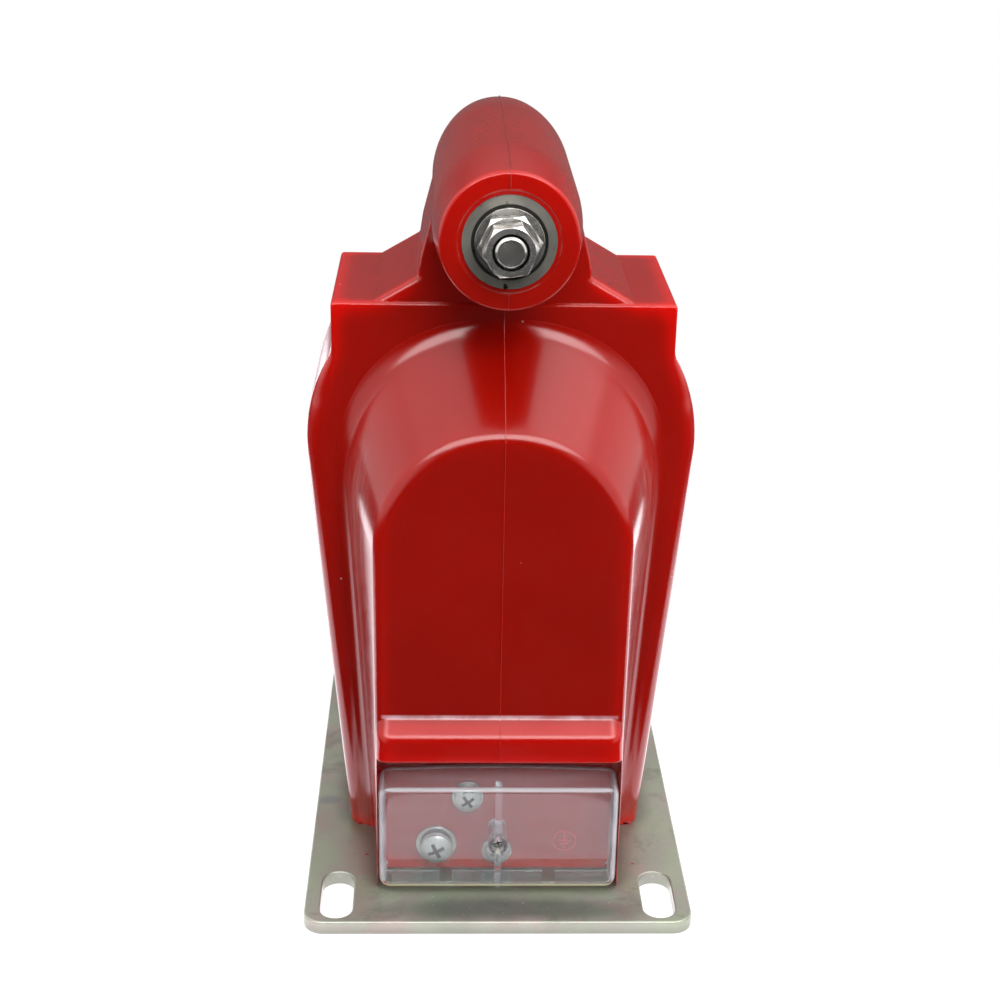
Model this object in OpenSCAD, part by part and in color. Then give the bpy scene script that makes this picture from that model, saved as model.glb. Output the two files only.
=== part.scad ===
// Cast resin voltage transformer, double pole, with a transparent terminal cover.
// The origin is under the middle of the base plate. The cover faces -Y and Z points up.

/* [Base plate] */
// How far the base plate stands past the widest part of the body on each side
plate_margin = 0; // [-3:0.5:8]
// Length of the base plate, front to back
plate_l = 220; // [205:1:260]
// Thickness of the base plate
plate_t = 6; // [5:0.5:10]
// Corner radius of the base plate
plate_corner_r = 8; // [3:0.5:12]
// Width of each mounting slot
slot_w = 13; // [9:0.5:14]
// Length of each mounting slot, end to end
slot_l = 32; // [18:1:36]
// Distance from the plate's side to the middle of a slot
slot_edge_x = 12.8; // [10:0.1:15]
// Distance from the plate's front or rear end to the middle of a slot
slot_edge_y = 19; // [18.5:0.5:25]

/* [Body slab] */
// Thickness of the wide body slab, front to back
slab_t = 78; // [74:1:90]
// Width of the slab where it stands on the plate
foot_w = 124; // [116:1:134]
// Width of the slab at its widest
belly_w = 155; // [148:1:170]
// Height of the widest point above the plate
belly_h = 174; // [160:1:180]
// Radius of the round sides at the widest point
belly_r = 72; // [60:1:74]
// Radius on the rim of the slab
rim_r = 7; // [3:0.5:10]
// Width of the square shoulders
shoulder_w = 133.6; // [126:0.2:140]
// Height of the shoulders above the plate
shoulder_h = 232.5; // [228:0.5:245]
// Radius on the upright edges of the shoulders
shoulder_r = 1.5; // [0.5:0.5:3]
// Radius of the soft inner corner under each shoulder
inner_corner_r = 10; // [5:1:14]

/* [Roof and neck] */
// Width of the roof between its two creases
roof_w = 101; // [80:1:115]
// Width of the neck where it leaves the roof
neck_foot_w = 66.8; // [62:0.2:74]
// Height of the neck's foot above the shoulders
neck_foot_rise = 10; // [5:0.5:14]
// Depth of the neck, front to back
neck_t = 76; // [60:1:84]
// Bevel along the roof's front and rear edges
roof_bevel = 3; // [1:0.5:5]

/* [High-voltage tube] */
// Height of the tube's axis above the shoulders
tube_rise = 33.8; // [31:0.2:42]
// Length of the tube, face to face
tube_l = 156; // [146:1:180]
// Diameter of the tube at its two faces
tube_end_d = 51; // [47:0.5:55]
// Diameter of the tube over the neck
tube_mid_d = 56.8; // [54:0.2:61]
// Radius on the rim of each tube face
tube_rim_r = 3; // [1:0.5:5]
// Diameter of the shallow step round each terminal
face_step_d = 37.8; // [36:0.2:40]
// Depth of the shallow step
face_step = 0.6; // [0.3:0.1:1]

/* [Coil housings] */
// Distance between the front and rear housing faces
housing_l = 160; // [150:1:176]
// Width of a housing at its root on the slab
root_w = 124; // [112:1:130]
// Width of the root at the plate
root_foot_w = 103; // [99:1:112]
// Height of the root's arch above its own axis
root_arch = 63.5; // [55:0.5:64]
// Height of the root arch's axis above the plate
root_axis_h = 159; // [150:1:160]
// Roundness of the root arch, 2 for an ellipse
root_power = 2.3; // [2:0.1:3]
// Width of the flat face of a housing
face_w = 98.2; // [94:0.2:99]
// Height of the face arch's axis above the plate
face_axis_h = 144; // [134:1:150]
// Fillet where a housing leaves the slab
root_fillet_r = 5; // [2:0.5:8]
// Radius on the edge of a housing face
face_edge_r = 2.5; // [1:0.5:4]

/* [Terminal chamber] */
// How far the terminal block stands in front of the housing face
block_proud = 6.5; // [4:0.5:9]
// Height of the block's front edge above the plate
block_h = 68.3; // [66:0.1:76]
// Rise of the block's sloping top to the housing face
block_rise = 6; // [3:0.5:8]
// Height of the chamber's ceiling above the plate
chamber_h = 58.5; // [56:0.5:62]
// Depth of the chamber behind the block's front
chamber_depth = 15.5; // [13:0.5:16.5]
// Thickness of the cheeks beside the chamber
cheek_t = 1.3; // [1:0.1:2.5]
// Radius on the front edge of the ridge over the chamber
ridge_r = 3; // [1.5:0.5:4]
// Radius of the soft inner corner between the ridge and the housing face
ridge_fillet_r = 4; // [2:0.5:6]

/* [Terminal cover] */
// Wall of the transparent cover
cover_wall = 1.6; // [1:0.1:2]
// Clearance between the cover and each cheek
cover_side_gap = 0.2; // [0.1:0.1:0.5]
// Height of the cover's underside above the plate
cover_foot_gap = 0.8; // [0.3:0.1:1.5]
// Height of the cover at its front
cover_front_h = 46; // [43:0.5:49]
// Height of the cover at its back
cover_back_h = 48; // [45:0.5:52]
// How far the cover stands in front of the block
cover_proud = 1; // [0:0.1:2]
// Corner radius of the cover, seen from above
cover_corner_r = 4; // [2.2:0.1:6]
// Radius on the top edges of the cover
cover_edge_r = 2.6; // [2.2:0.1:4]
// Depth of the cover's floor
cover_floor_l = 11; // [8:0.5:12]
// Width of the two cable notches
notch_w = 5; // [3:0.5:8]
// Depth of the cable notches
notch_l = 8.5; // [4:0.5:9]
// Distance from the middle to each cable notch
notch_x = 21; // [15:0.5:30]
// Thickness of the centre rib
rib_t = 2.6; // [1.5:0.1:3.5]
// Depth of the centre rib
rib_l = 6.5; // [3:0.5:7]
// Diameter of the screw boss in the cover
boss_d = 7.6; // [7:0.1:8]
// Height of the cover screw above the plate
cover_screw_h = 20; // [19.5:0.1:24]
// Depth of the screw's recess in the boss
boss_recess_l = 5; // [3:0.5:7]
// Diameter of the cover screw
cover_screw_d = 3; // [2.5:0.5:3]
// Diameter of the cover screw's head
cover_head_d = 5.4; // [5:0.1:5.6]

/* [High-voltage terminals] */
// Diameter of the metal insert in each tube face
hv_insert_d = 34.3; // [32:0.1:35]
// Thickness of the insert's disc
hv_insert_t = 6; // [4:0.5:8]
// Diameter of the insert's stem
hv_stem_d = 20; // [16:0.5:24]
// Length of the insert's stem
hv_stem_l = 18; // [16:0.5:20]
// Diameter of the recess for the washer
hv_recess_d = 27.6; // [26:0.1:29]
// Depth of the recess for the washer
hv_recess_t = 1; // [0.5:0.1:1.5]
// Diameter of the flat washer
hv_washer_d = 25.2; // [23:0.1:25.8]
// Thickness of the flat washer
hv_washer_t = 2; // [1.5:0.1:3]
// Diameter of the stud
hv_stud_d = 11.7; // [10:0.1:12]
// Depth of the stud in the insert
hv_stud_depth = 16; // [10:1:18]
// Across flats of the lock nut
lock_nut_af = 20.5; // [18:0.5:21]
// Thickness of the lock nut
lock_nut_t = 5; // [4:0.1:7]
// Across flats of the terminal nut
hv_nut_af = 17.5; // [16:0.5:19]
// Thickness of the terminal nut
hv_nut_t = 8.8; // [7:0.1:11]
// How far the stud stands out of the terminal nut
hv_stud_proud = 0.7; // [0.3:0.1:6]
// Chamfer on the end of the stud
hv_stud_chamfer = 1; // [0.5:0.1:1.5]
// Angle by which the lock nut is turned
lock_nut_turn = 5.5; // [0:0.5:30]
// Angle by which the terminal nut is turned
hv_nut_turn = 7.5; // [0:0.5:30]

/* [Low-voltage terminals] */
// Left terminal: distance from the middle
left_x = 25; // [22:0.5:32]
// Left terminal: height above the plate
left_h = 12; // [11:0.5:20]
// Left terminal: screw diameter
left_screw_d = 6; // [5:0.5:6]
// Left terminal: head diameter
left_head_d = 12.8; // [11:0.1:14]
// Left terminal: washer diameter
left_washer_d = 16.6; // [15:0.1:18]
// Left terminal: spring washer diameter
left_spring_d = 10.2; // [9.5:0.1:11]
// Top terminal: distance from the middle
top_x = 12.3; // [9:0.1:20]
// Top terminal: height above the plate
top_h = 34; // [31:0.5:36]
// Top terminal: head diameter
top_head_d = 10.8; // [9:0.1:12]
// Top terminal: washer diameter
top_washer_d = 12.6; // [11:0.1:14]
// Centre terminal: height above the plate
centre_h = 8.8; // [8:0.1:9]
// Centre terminal: head diameter
centre_head_d = 9.6; // [9:0.1:10]
// Centre terminal: washer diameter
centre_washer_d = 12.2; // [11:0.1:12.6]
// Top and centre terminals: screw diameter
small_screw_d = 5; // [4:0.5:5]
// Thickness of the low-voltage flat washers
lv_washer_t = 1.2; // [0.8:0.1:1.6]
// Thickness of the spring washer on the left terminal
lv_spring_t = 1.4; // [1:0.1:2]
// Length of the threaded inserts
lv_insert_l = 8; // [6:0.5:8.5]
// Wall of the threaded inserts round the screw
lv_insert_wall = 2; // [1.5:0.1:2.5]
// Head height as a share of the head diameter
head_share = 0.36; // [0.3:0.01:0.42]

/* [Base fixing] */
// Diameter of the countersunk screws under the plate
base_screw_d = 8; // [6:0.5:8]
// Length of the countersunk screws
base_screw_l = 18; // [15:1:20]
// Diameter of their heads
base_head_d = 15.5; // [14:0.5:16]
// Distance from the middle to each screw, sideways
base_screw_x = 44; // [40:0.5:46]
// Distance from the middle to each screw, front to back
base_screw_y = 22; // [10:1:26]
// Wall of the base inserts round the screw
base_insert_wall = 3; // [2:0.5:4]

/* [Core and windings] */
// Width of the iron core, side to side
core_w = 56; // [50:1:58]
// Thickness of the core's limbs
core_limb = 30; // [24:1:31]
// Height of the core's underside above the plate
core_foot_h = 10; // [8:0.5:14]
// Height of the coil's axis above the plate
coil_h = 152; // [148:1:156]
// Length of the primary winding along the core
coil_l = 46; // [40:1:50]
// Resin between the coil and the core's legs
coil_end_gap = 5; // [4:0.5:6]
// Outer diameter of the primary winding
primary_d = 122; // [116:1:126]
// Outer diameter of the barrier tube
barrier_d = 90; // [88:0.5:94]
// Outer diameter of the secondary winding
secondary_d = 84; // [80:0.5:86]
// Outer diameter of the winding tube
former_d = 72; // [70:0.5:76]
// Wall of the winding tube
former_wall = 2; // [1:0.1:2.5]
// Diameter of the high-voltage leads
hv_lead_d = 5; // [3:0.5:6]
// Distance from the middle to each high-voltage lead
hv_lead_y = 15; // [10:1:20]
// Diameter of the low-voltage leads
lv_lead_d = 2.4; // [1.5:0.1:3]
// Gap between the core's side and the top terminal's lead
top_lead_gap = 7; // [5:0.5:9]
// Gap between the core's side and the centre terminal's lead
centre_lead_gap = 5; // [3:0.5:7]
// How far the top terminal's lead runs in front of the slab
top_lead_front = 8; // [6:0.5:12]
// How far the centre terminal's lead runs in front of the slab
centre_lead_front = 4; // [2:0.5:8]
// Diameter of the core's earth lead
earth_lead_d = 4.8; // [3:0.2:6]

/* [Fits] */
// Clearance on the diameter of threads and screw holes
thread_clear = 0.1; // [0.05:0.05:0.2]
// Clearance of plain screw holes on the diameter
hole_clear = 0.6; // [0.3:0.1:1]
// Room at the bottom of a threaded hole, past the screw's tip
tip_gap = 1; // [0.5:0.1:2]

/* [Hidden] */
$fn = 64;

// How far a cut runs past an open face, and how far joined solids run into each other
over = 1;
overlap = 4;

// The plate is as wide as the body and its margins
plate_w = belly_w + 2 * plate_margin;

// Heights above the floor
floor_z = plate_t;
shoulder_z = floor_z + shoulder_h;
tube_z = shoulder_z + tube_rise;
belly_z = floor_z + belly_h;
coil_z = floor_z + coil_h;
block_z = floor_z + block_h;
chamber_z = floor_z + chamber_h;

// Depths, measured forward from the middle
slab_y = slab_t / 2;
neck_y = neck_t / 2;
face_y = housing_l / 2;
tube_y = tube_l / 2;
block_y = face_y + block_proud;
wall_y = block_y - chamber_depth;
cover_y = block_y + cover_proud;

// The slab's sides: a straight line from the foot that touches the belly's circle
belly_x = belly_w / 2 - belly_r;
run_x = belly_x - foot_w / 2;
run_z = belly_z - floor_z;
run_l = norm([run_x, run_z]);
side_lean = atan2(run_x, run_z) + asin(belly_r / run_l);
side_l = sqrt(run_l * run_l - belly_r * belly_r);

// Rings of a housing: the arch's steps, and the turns between rings in the root fillet and on the face edge
arch_steps = 40;
fillet_first = 20;
fillet_turn = (90 - fillet_first) / 4;
edge_turn = 90 / 4;

// Half widths in the terminal block
face_x = face_w / 2;
chamber_x = face_x - cheek_t;
cover_x = chamber_x - cover_side_gap;
cover_z = floor_z + cover_foot_gap;
cover_screw_z = floor_z + cover_screw_h;
boss_bore_d = cover_screw_d + hole_clear;
boss_recess_d = cover_head_d + hole_clear;
cover_seat_y = cover_y - boss_recess_l;
cover_head_t = cover_head_d * head_share;

// The stack on each high-voltage stud, measured outward from the middle
recess_y = tube_y - hv_recess_t;
lock_nut_y = recess_y + hv_washer_t;
hv_nut_y = lock_nut_y + lock_nut_t;
stud_end_y = hv_nut_y + hv_nut_t + hv_stud_proud;
stem_end_y = tube_y - hv_insert_t - hv_stem_l;
stud_root_y = recess_y - hv_stud_depth;

// The core is a ring round the lower half of the coil
window_y = coil_l / 2 + coil_end_gap;
core_y = window_y + core_limb;
core_foot_z = floor_z + core_foot_h;
core_top_z = coil_z + core_limb / 2;

// Places of the low-voltage screws
left_z = floor_z + left_h;
top_z = floor_z + top_h;
centre_z = floor_z + centre_h;
left_insert_d = left_screw_d + 2 * lv_insert_wall;
small_insert_d = small_screw_d + 2 * lv_insert_wall;
cover_insert_d = cover_screw_d + 2 * lv_insert_wall;
insert_back_y = wall_y - lv_insert_l;
screw_tip_y = insert_back_y + tip_gap;
lead_front_y = insert_back_y + lv_insert_l / 2;
lead_start_y = (coil_l + coil_end_gap) / 2;

// Screw heads: shares of the head diameter, and how far each cross recess is turned
dome_share = 0.85;
recess_share = 0.55;
web_share = 0.12;
recess_depth_share = 0.55;
cover_screw_turn = 20;
left_screw_turn = 25;
top_screw_turn = 35;
spring_split = 0.8;
spring_turn = 40;

// Colours
resin_red = [0.68, 0.05, 0.04];
zinc_grey = [0.58, 0.60, 0.53];
steel_grey = [0.72, 0.72, 0.70];
dark_metal = [0.40, 0.40, 0.38];
brass_tone = [0.72, 0.58, 0.30];
copper_tone = [0.72, 0.42, 0.24];
clear_grey = [0.85, 0.88, 0.90, 0.45];
card_tan = [0.76, 0.66, 0.46];

// A profile drawn in X and Z, carried from y0 to y1
module along_y(y0, y1) {
    translate([0, y1, 0]) rotate([90, 0, 0]) linear_extrude(y1 - y0) children();
}

// A straight rod between two points
module rod(from, to, d) {
    way = to - from;
    flat = norm([way[0], way[1]]);
    translate(from)
        rotate([0, atan2(flat, way[2]), atan2(way[1], way[0])])
            cylinder(d = d, h = norm(way), $fn = 24);
}

// A bent wire through a list of points, with round elbows
module wire(points, d) {
    for (i = [0 : len(points) - 2]) rod(points[i], points[i + 1], d);
    for (i = [1 : len(points) - 2]) translate(points[i]) sphere(d = d, $fn = 24);
}

// A cylinder along Y, standing on y and reaching forward to y - h
module forward_rod(x, y, z, d, h) {
    translate([x, y, z]) rotate([90, 0, 0]) cylinder(d = d, h = h);
}

// The rear terminal is the front one turned round
module at_rear() {
    rotate([0, 0, 180]) children();
}

// Half section of the slab: square inside, rounded on the rim
module rim_section(w) {
    translate([0, -slab_y + rim_r]) square([w, slab_t - 2 * rim_r]);
    translate([0, -slab_y]) square([w - rim_r, slab_t]);
    for (s = [-1, 1]) translate([w - rim_r, s * (slab_y - rim_r)]) circle(r = rim_r);
}

// One side of the slab: the leaning straight side and the round belly above it
module slab_side() {
    translate([foot_w / 2, 0, floor_z])
        rotate([0, side_lean, 0])
            translate([-belly_r, 0, -overlap])
                linear_extrude(side_l + overlap) rim_section(belly_r);
    translate([belly_x, 0, belly_z])
        rotate([90, 0, 0])
            rotate([0, 0, -side_lean])
                rotate_extrude(angle = 180) rim_section(belly_r);
}

module slab() {
    slab_side();
    mirror([1, 0, 0]) slab_side();
    along_y(-slab_y, slab_y)
        translate([-foot_w / 2 + rim_r, floor_z - overlap]) square([foot_w - 2 * rim_r, belly_h + overlap]);
    translate([0, 0, belly_z]) rounded_plate(shoulder_w, slab_t, shoulder_r, shoulder_z - belly_z);
    for (s = [0, 1]) mirror([s, 0, 0]) inner_corner();
}

// The soft corner between a shoulder's side and the belly: its arc touches both
module inner_corner() {
    corner_x = shoulder_w / 2 + inner_corner_r;
    corner_z = belly_z + sqrt(pow(belly_r + inner_corner_r, 2) - pow(corner_x - belly_x, 2));
    along_y(-slab_y + shoulder_r, slab_y - shoulder_r) difference() {
        polygon([[belly_x, belly_z], [corner_x, corner_z], [shoulder_w / 2 - over, corner_z]]);
        translate([corner_x, corner_z]) circle(r = inner_corner_r);
    }
}

// The roof's two slopes and the neck that carries the tube
module roof_and_neck() {
    foot_z = shoulder_z + neck_foot_rise;
    along_y(-neck_y, neck_y) polygon([
        [-neck_foot_w / 2, shoulder_z - over], [-neck_foot_w / 2, foot_z], [-tube_mid_d / 2, tube_z],
        [tube_mid_d / 2, tube_z], [neck_foot_w / 2, foot_z], [neck_foot_w / 2, shoulder_z - over]
    ]);
    for (s = [0, 1]) mirror([s, 0, 0]) roof_slope();
}

module roof_slope() {
    rise = neck_foot_rise;
    reach = (roof_w - neck_foot_w) / 2;
    slope = atan2(rise, reach);
    bevel = roof_bevel * sqrt(2);
    difference() {
        along_y(-neck_y, neck_y) polygon([
            [0, shoulder_z - over], [roof_w / 2 + over * reach / rise, shoulder_z - over],
            [neck_foot_w / 2, shoulder_z + rise], [0, shoulder_z + rise]
        ]);
        for (s = [-1, 1])
            translate([roof_w / 2, s * neck_y, shoulder_z])
                rotate([0, slope, 0])
                    translate([-reach, 0, 0])
                        rotate([45, 0, 0])
                            cube([4 * reach, bevel, bevel], center = true);
    }
}

// The tube: straight over the neck, then drawn in to each face, with a round rim
module tube() {
    end_r = tube_end_d / 2;
    mid_r = tube_mid_d / 2;
    translate([0, 0, tube_z]) rotate([90, 0, 0]) rotate_extrude() {
        polygon([
            [0, -tube_y], [end_r - tube_rim_r, -tube_y], [end_r, tube_rim_r - tube_y],
            [mid_r, -neck_y], [mid_r, neck_y], [end_r, tube_y - tube_rim_r],
            [end_r - tube_rim_r, tube_y], [0, tube_y]
        ]);
        for (s = [-1, 1]) translate([end_r - tube_rim_r, s * (tube_y - tube_rim_r)]) circle(r = tube_rim_r);
    }
}

// Outline of a coil housing at one depth: straight sides and a rounded arch
function arch_point(a, b, power, axis_z, t) = [
    a * sign(cos(t)) * pow(abs(cos(t)), 2 / power),
    axis_z + b * pow(abs(sin(t)), 2 / power)
];
function housing_outline(foot, a, b, power, axis_z) = concat(
    [[foot, floor_z]],
    [for (i = [0 : arch_steps]) arch_point(a, b, power, axis_z, 180 * i / arch_steps)],
    [[-foot, floor_z]]
);

// One ring of the housing: w runs from 0 at the root to 1 at the face, grow widens the outline
function housing_ring(y, w, grow) = [
    for (p = housing_outline(
        root_foot_w / 2 + (face_w - root_foot_w) / 2 * w + grow,
        root_w / 2 + (face_w - root_w) / 2 * w + grow,
        root_arch + (face_w / 2 - root_arch) * w + grow,
        root_power + (2 - root_power) * w,
        floor_z + root_axis_h + (face_axis_h - root_axis_h) * w
    )) [p[0], -y, p[1]]
];

// Depths and growths of the rings: a fillet at the root, a straight draft, a round edge at the face
function housing_rings() =
    let (run = face_y - slab_y, r = root_fillet_r, e = face_edge_r)
    concat(
        [housing_ring(slab_y - over, 0, r + over)],
        [for (t = [fillet_first : fillet_turn : 90])
            housing_ring(slab_y + r * (1 - cos(t)), r * (1 - cos(t)) / run, r * (1 - sin(t)))],
        [for (t = [0 : edge_turn : 90])
            housing_ring(face_y - e + e * sin(t), 1 - e * (1 - sin(t)) / run, -e * (1 - cos(t)))]
    );

// A loft: rings of equal length joined by triangles, closed at both ends
module loft(rings) {
    n = len(rings[0]);
    m = len(rings);
    sides = [for (j = [0 : m - 2]) for (i = [0 : n - 1]) for (tri = [
        [j * n + i, (j + 1) * n + (i + 1) % n, j * n + (i + 1) % n],
        [j * n + i, (j + 1) * n + i, (j + 1) * n + (i + 1) % n]
    ]) tri];
    ends = [[for (i = [0 : n - 1]) i], [for (i = [n - 1 : -1 : 0]) (m - 1) * n + i]];
    polyhedron(points = [for (ring = rings) each ring], faces = concat(sides, ends), convexity = 4);
}

module coil_housing() {
    loft(housing_rings());
}

// A side profile whose front corner is at the origin: an upright front, a round edge and a top that rises
// to the rear
module rounded_front(r, slope, reach, depth) {
    edge_l = r * tan(45 - slope / 2);
    polygon([
        [0, -depth], [0, -edge_l], [edge_l * cos(slope), edge_l * sin(slope)],
        [reach, reach * tan(slope)], [reach, -depth]
    ]);
    translate([r, -edge_l]) circle(r = r);
}

// The soft inner corner where the ridge's top meets the housing face
module ridge_corner(slope) {
    reach = ridge_fillet_r * tan(45 - slope / 2);
    difference() {
        polygon([
            [-reach * cos(slope), -reach * sin(slope)], [-ridge_fillet_r, reach], [0, reach],
            [overlap, reach], [overlap, -block_rise]
        ]);
        translate([-ridge_fillet_r, reach]) circle(r = ridge_fillet_r);
    }
}

// The block over the terminals, with its sloping ridge
module terminal_block() {
    slope = atan2(block_rise, block_proud);
    top_z = block_z + block_rise;
    intersection() {
        translate([-face_x, 0, 0]) rotate([90, 0, 90]) linear_extrude(face_w) {
            translate([-block_y, block_z]) rounded_front(ridge_r, slope, block_proud, block_h);
            translate([-face_y, floor_z]) square([face_y - slab_y, top_z - floor_z]);
            translate([-face_y, top_z]) ridge_corner(slope);
        }
        linear_extrude(top_z + ridge_fillet_r) {
            translate([-face_x, -block_y + face_edge_r]) square([face_w, block_y]);
            translate([-face_x + face_edge_r, -block_y]) square([face_w - 2 * face_edge_r, block_y]);
            for (s = [-1, 1])
                translate([s * (face_x - face_edge_r), -block_y + face_edge_r]) circle(r = face_edge_r);
        }
    }
}

module chamber() {
    translate([-chamber_x, -block_y - over, floor_z - over])
        cube([2 * chamber_x, chamber_depth + over, chamber_h + over]);
}

module resin_shell() {
    slab();
    roof_and_neck();
    tube();
    coil_housing();
    at_rear() coil_housing();
    terminal_block();
}

// Shallow round steps in the tube faces
module face_steps() {
    for (s = [0, 1]) rotate([0, 0, 180 * s])
        forward_rod(0, -tube_y + face_step, tube_z, face_step_d, face_step + over);
}

module resin_body() {
    color(resin_red) difference() {
        resin_shell();
        translate([-belly_w, -housing_l, floor_z - 3 * overlap])
            cube([2 * belly_w, 2 * housing_l, 3 * overlap]);
        chamber();
        face_steps();
        hv_insert_blank();
        at_rear() hv_insert_blank();
        hv_lead_shape();
        at_rear() hv_lead_shape();
        core_shape();
        winding(former_d - 2 * former_wall, primary_d, coil_l);
        winding(former_d - 2 * former_wall, barrier_d, coil_l + coil_end_gap);
        lead_shapes();
        lv_blank(-left_x, left_z, left_insert_d);
        lv_blank(-top_x, top_z, small_insert_d);
        lv_blank(0, centre_z, small_insert_d);
        lv_blank(0, cover_screw_z, cover_insert_d);
        base_insert_blanks();
    }
}

module rounded_plate(w, l, r, t) {
    linear_extrude(t) {
        square([w - 2 * r, l], center = true);
        square([w, l - 2 * r], center = true);
        for (x = [-1, 1]) for (y = [-1, 1]) translate([x * (w / 2 - r), y * (l / 2 - r)]) circle(r = r);
    }
}

module slot_shape() {
    reach = (slot_l - slot_w) / 2;
    for (s = [-1, 1]) translate([0, s * reach, -over]) cylinder(d = slot_w, h = plate_t + 2 * over);
    translate([-slot_w / 2, -reach, -over]) cube([slot_w, 2 * reach, plate_t + 2 * over]);
}

// The same cone is the screw's head and the hole's countersink
module countersink() {
    cylinder(d1 = base_head_d, d2 = base_screw_d, h = (base_head_d - base_screw_d) / 2);
}

module at_base_screws() {
    for (x = [-1, 1]) for (y = [-1, 1]) translate([x * base_screw_x, y * base_screw_y, 0]) children();
}

module base_plate() {
    slot_x = plate_w / 2 - slot_edge_x;
    slot_y = plate_l / 2 - slot_edge_y;
    color(zinc_grey) difference() {
        rounded_plate(plate_w, plate_l, plate_corner_r, plate_t);
        for (x = [-1, 1]) for (y = [-1, 1]) translate([x * slot_x, y * slot_y, 0]) slot_shape();
        at_base_screws() {
            countersink();
            translate([0, 0, -over]) cylinder(d = base_screw_d + thread_clear, h = plate_t + 2 * over);
        }
    }
}

module base_screws() {
    color(steel_grey) at_base_screws() {
        countersink();
        cylinder(d = base_screw_d, h = base_screw_l);
    }
}

module base_insert_blanks() {
    at_base_screws() translate([0, 0, floor_z])
        cylinder(d = base_screw_d + 2 * base_insert_wall,
            h = base_screw_l - plate_t + tip_gap + base_insert_wall);
}

module base_inserts() {
    color(brass_tone) difference() {
        base_insert_blanks();
        at_base_screws() cylinder(d = base_screw_d + thread_clear, h = base_screw_l + tip_gap);
    }
}

// The core: a ring of strip in the Y and Z plane
module core_shape() {
    difference() {
        translate([-core_w / 2, -core_y, core_foot_z]) cube([core_w, 2 * core_y, core_top_z - core_foot_z]);
        translate([-core_w, -window_y, core_foot_z + core_limb])
            cube([2 * core_w, 2 * window_y, core_top_z - core_foot_z - 2 * core_limb]);
    }
}

module iron_core() {
    color(dark_metal) core_shape();
}

// A round winding or tube on the coil's axis
module winding(inner_d, outer_d, l) {
    translate([0, l / 2, coil_z]) rotate([90, 0, 0]) difference() {
        cylinder(d = outer_d, h = l);
        translate([0, 0, -over]) cylinder(d = inner_d, h = l + 2 * over);
    }
}

module winding_tube() {
    color(card_tan) winding(former_d - 2 * former_wall, former_d, coil_l + coil_end_gap);
}

module secondary_winding() {
    color(copper_tone) winding(former_d, secondary_d, coil_l + coil_end_gap);
}

module barrier_tube() {
    color(card_tan) winding(secondary_d, barrier_d, coil_l + coil_end_gap);
}

module primary_winding() {
    color(copper_tone) winding(barrier_d, primary_d, coil_l);
}

// From the top of the primary winding up to the tube's axis and out to the insert
module hv_lead_shape() {
    difference() {
        wire([[0, -hv_lead_y, coil_z], [0, -hv_lead_y, tube_z], [0, -stem_end_y, tube_z]], hv_lead_d);
        translate([0, slab_y, coil_z]) rotate([90, 0, 0]) cylinder(d = primary_d, h = slab_t);
    }
}

module front_hv_lead() {
    color(copper_tone) hv_lead_shape();
}

module rear_hv_lead() {
    color(copper_tone) at_rear() hv_lead_shape();
}

// Low-voltage leads: out of the secondary winding's end, down beside the core and to an insert
module lv_lead(side, out_x, front_y, target_x, target_z) {
    x = core_w / 2 + out_x;
    start_z = coil_z - sqrt(pow((former_d + secondary_d) / 4, 2) - x * x);
    difference() {
        wire([
            [side * x, -lead_start_y, start_z], [side * x, -front_y, start_z],
            [side * x, -front_y, target_z], [side * x, -lead_front_y, target_z],
            [target_x + side * small_screw_d / 2, -lead_front_y, target_z]
        ], lv_lead_d);
        lv_blank(target_x, target_z, small_insert_d);
    }
}

module top_lead_shape() {
    lv_lead(-1, top_lead_gap, slab_y + top_lead_front, -top_x, top_z);
}

module centre_lead_shape() {
    lv_lead(1, centre_lead_gap, slab_y + centre_lead_front, 0, centre_z);
}

module earth_lead_shape() {
    rod([-left_x, -core_y, left_z], [-left_x, -insert_back_y, left_z], earth_lead_d);
}

module lead_shapes() {
    top_lead_shape();
    centre_lead_shape();
    earth_lead_shape();
}

module top_terminal_lead() {
    color(copper_tone) top_lead_shape();
}

module centre_terminal_lead() {
    color(copper_tone) centre_lead_shape();
}

module earth_lead() {
    color(copper_tone) earth_lead_shape();
}

// High-voltage insert: a disc flush with the tube's face and a stem behind it
module hv_insert_blank() {
    forward_rod(0, -tube_y + hv_insert_t, tube_z, hv_insert_d, hv_insert_t);
    forward_rod(0, -stem_end_y, tube_z, hv_stem_d, hv_stem_l);
}

module hv_insert() {
    color(dark_metal) difference() {
        hv_insert_blank();
        forward_rod(0, -recess_y, tube_z, hv_recess_d, hv_recess_t + over);
        forward_rod(0, -stud_root_y, tube_z, hv_stud_d + thread_clear, hv_stud_depth + over);
    }
}

module hv_stud() {
    shank_l = stud_end_y - stud_root_y - hv_stud_chamfer;
    color(steel_grey) translate([0, -stud_root_y, tube_z]) rotate([90, 0, 0]) {
        cylinder(d = hv_stud_d, h = shank_l);
        translate([0, 0, shank_l])
            cylinder(d1 = hv_stud_d, d2 = hv_stud_d - 2 * hv_stud_chamfer, h = hv_stud_chamfer);
    }
}

module hv_washer() {
    color(steel_grey) difference() {
        forward_rod(0, -recess_y, tube_z, hv_washer_d, hv_washer_t);
        forward_rod(0, -recess_y + over, tube_z, hv_stud_d + hole_clear, hv_washer_t + 2 * over);
    }
}

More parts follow.
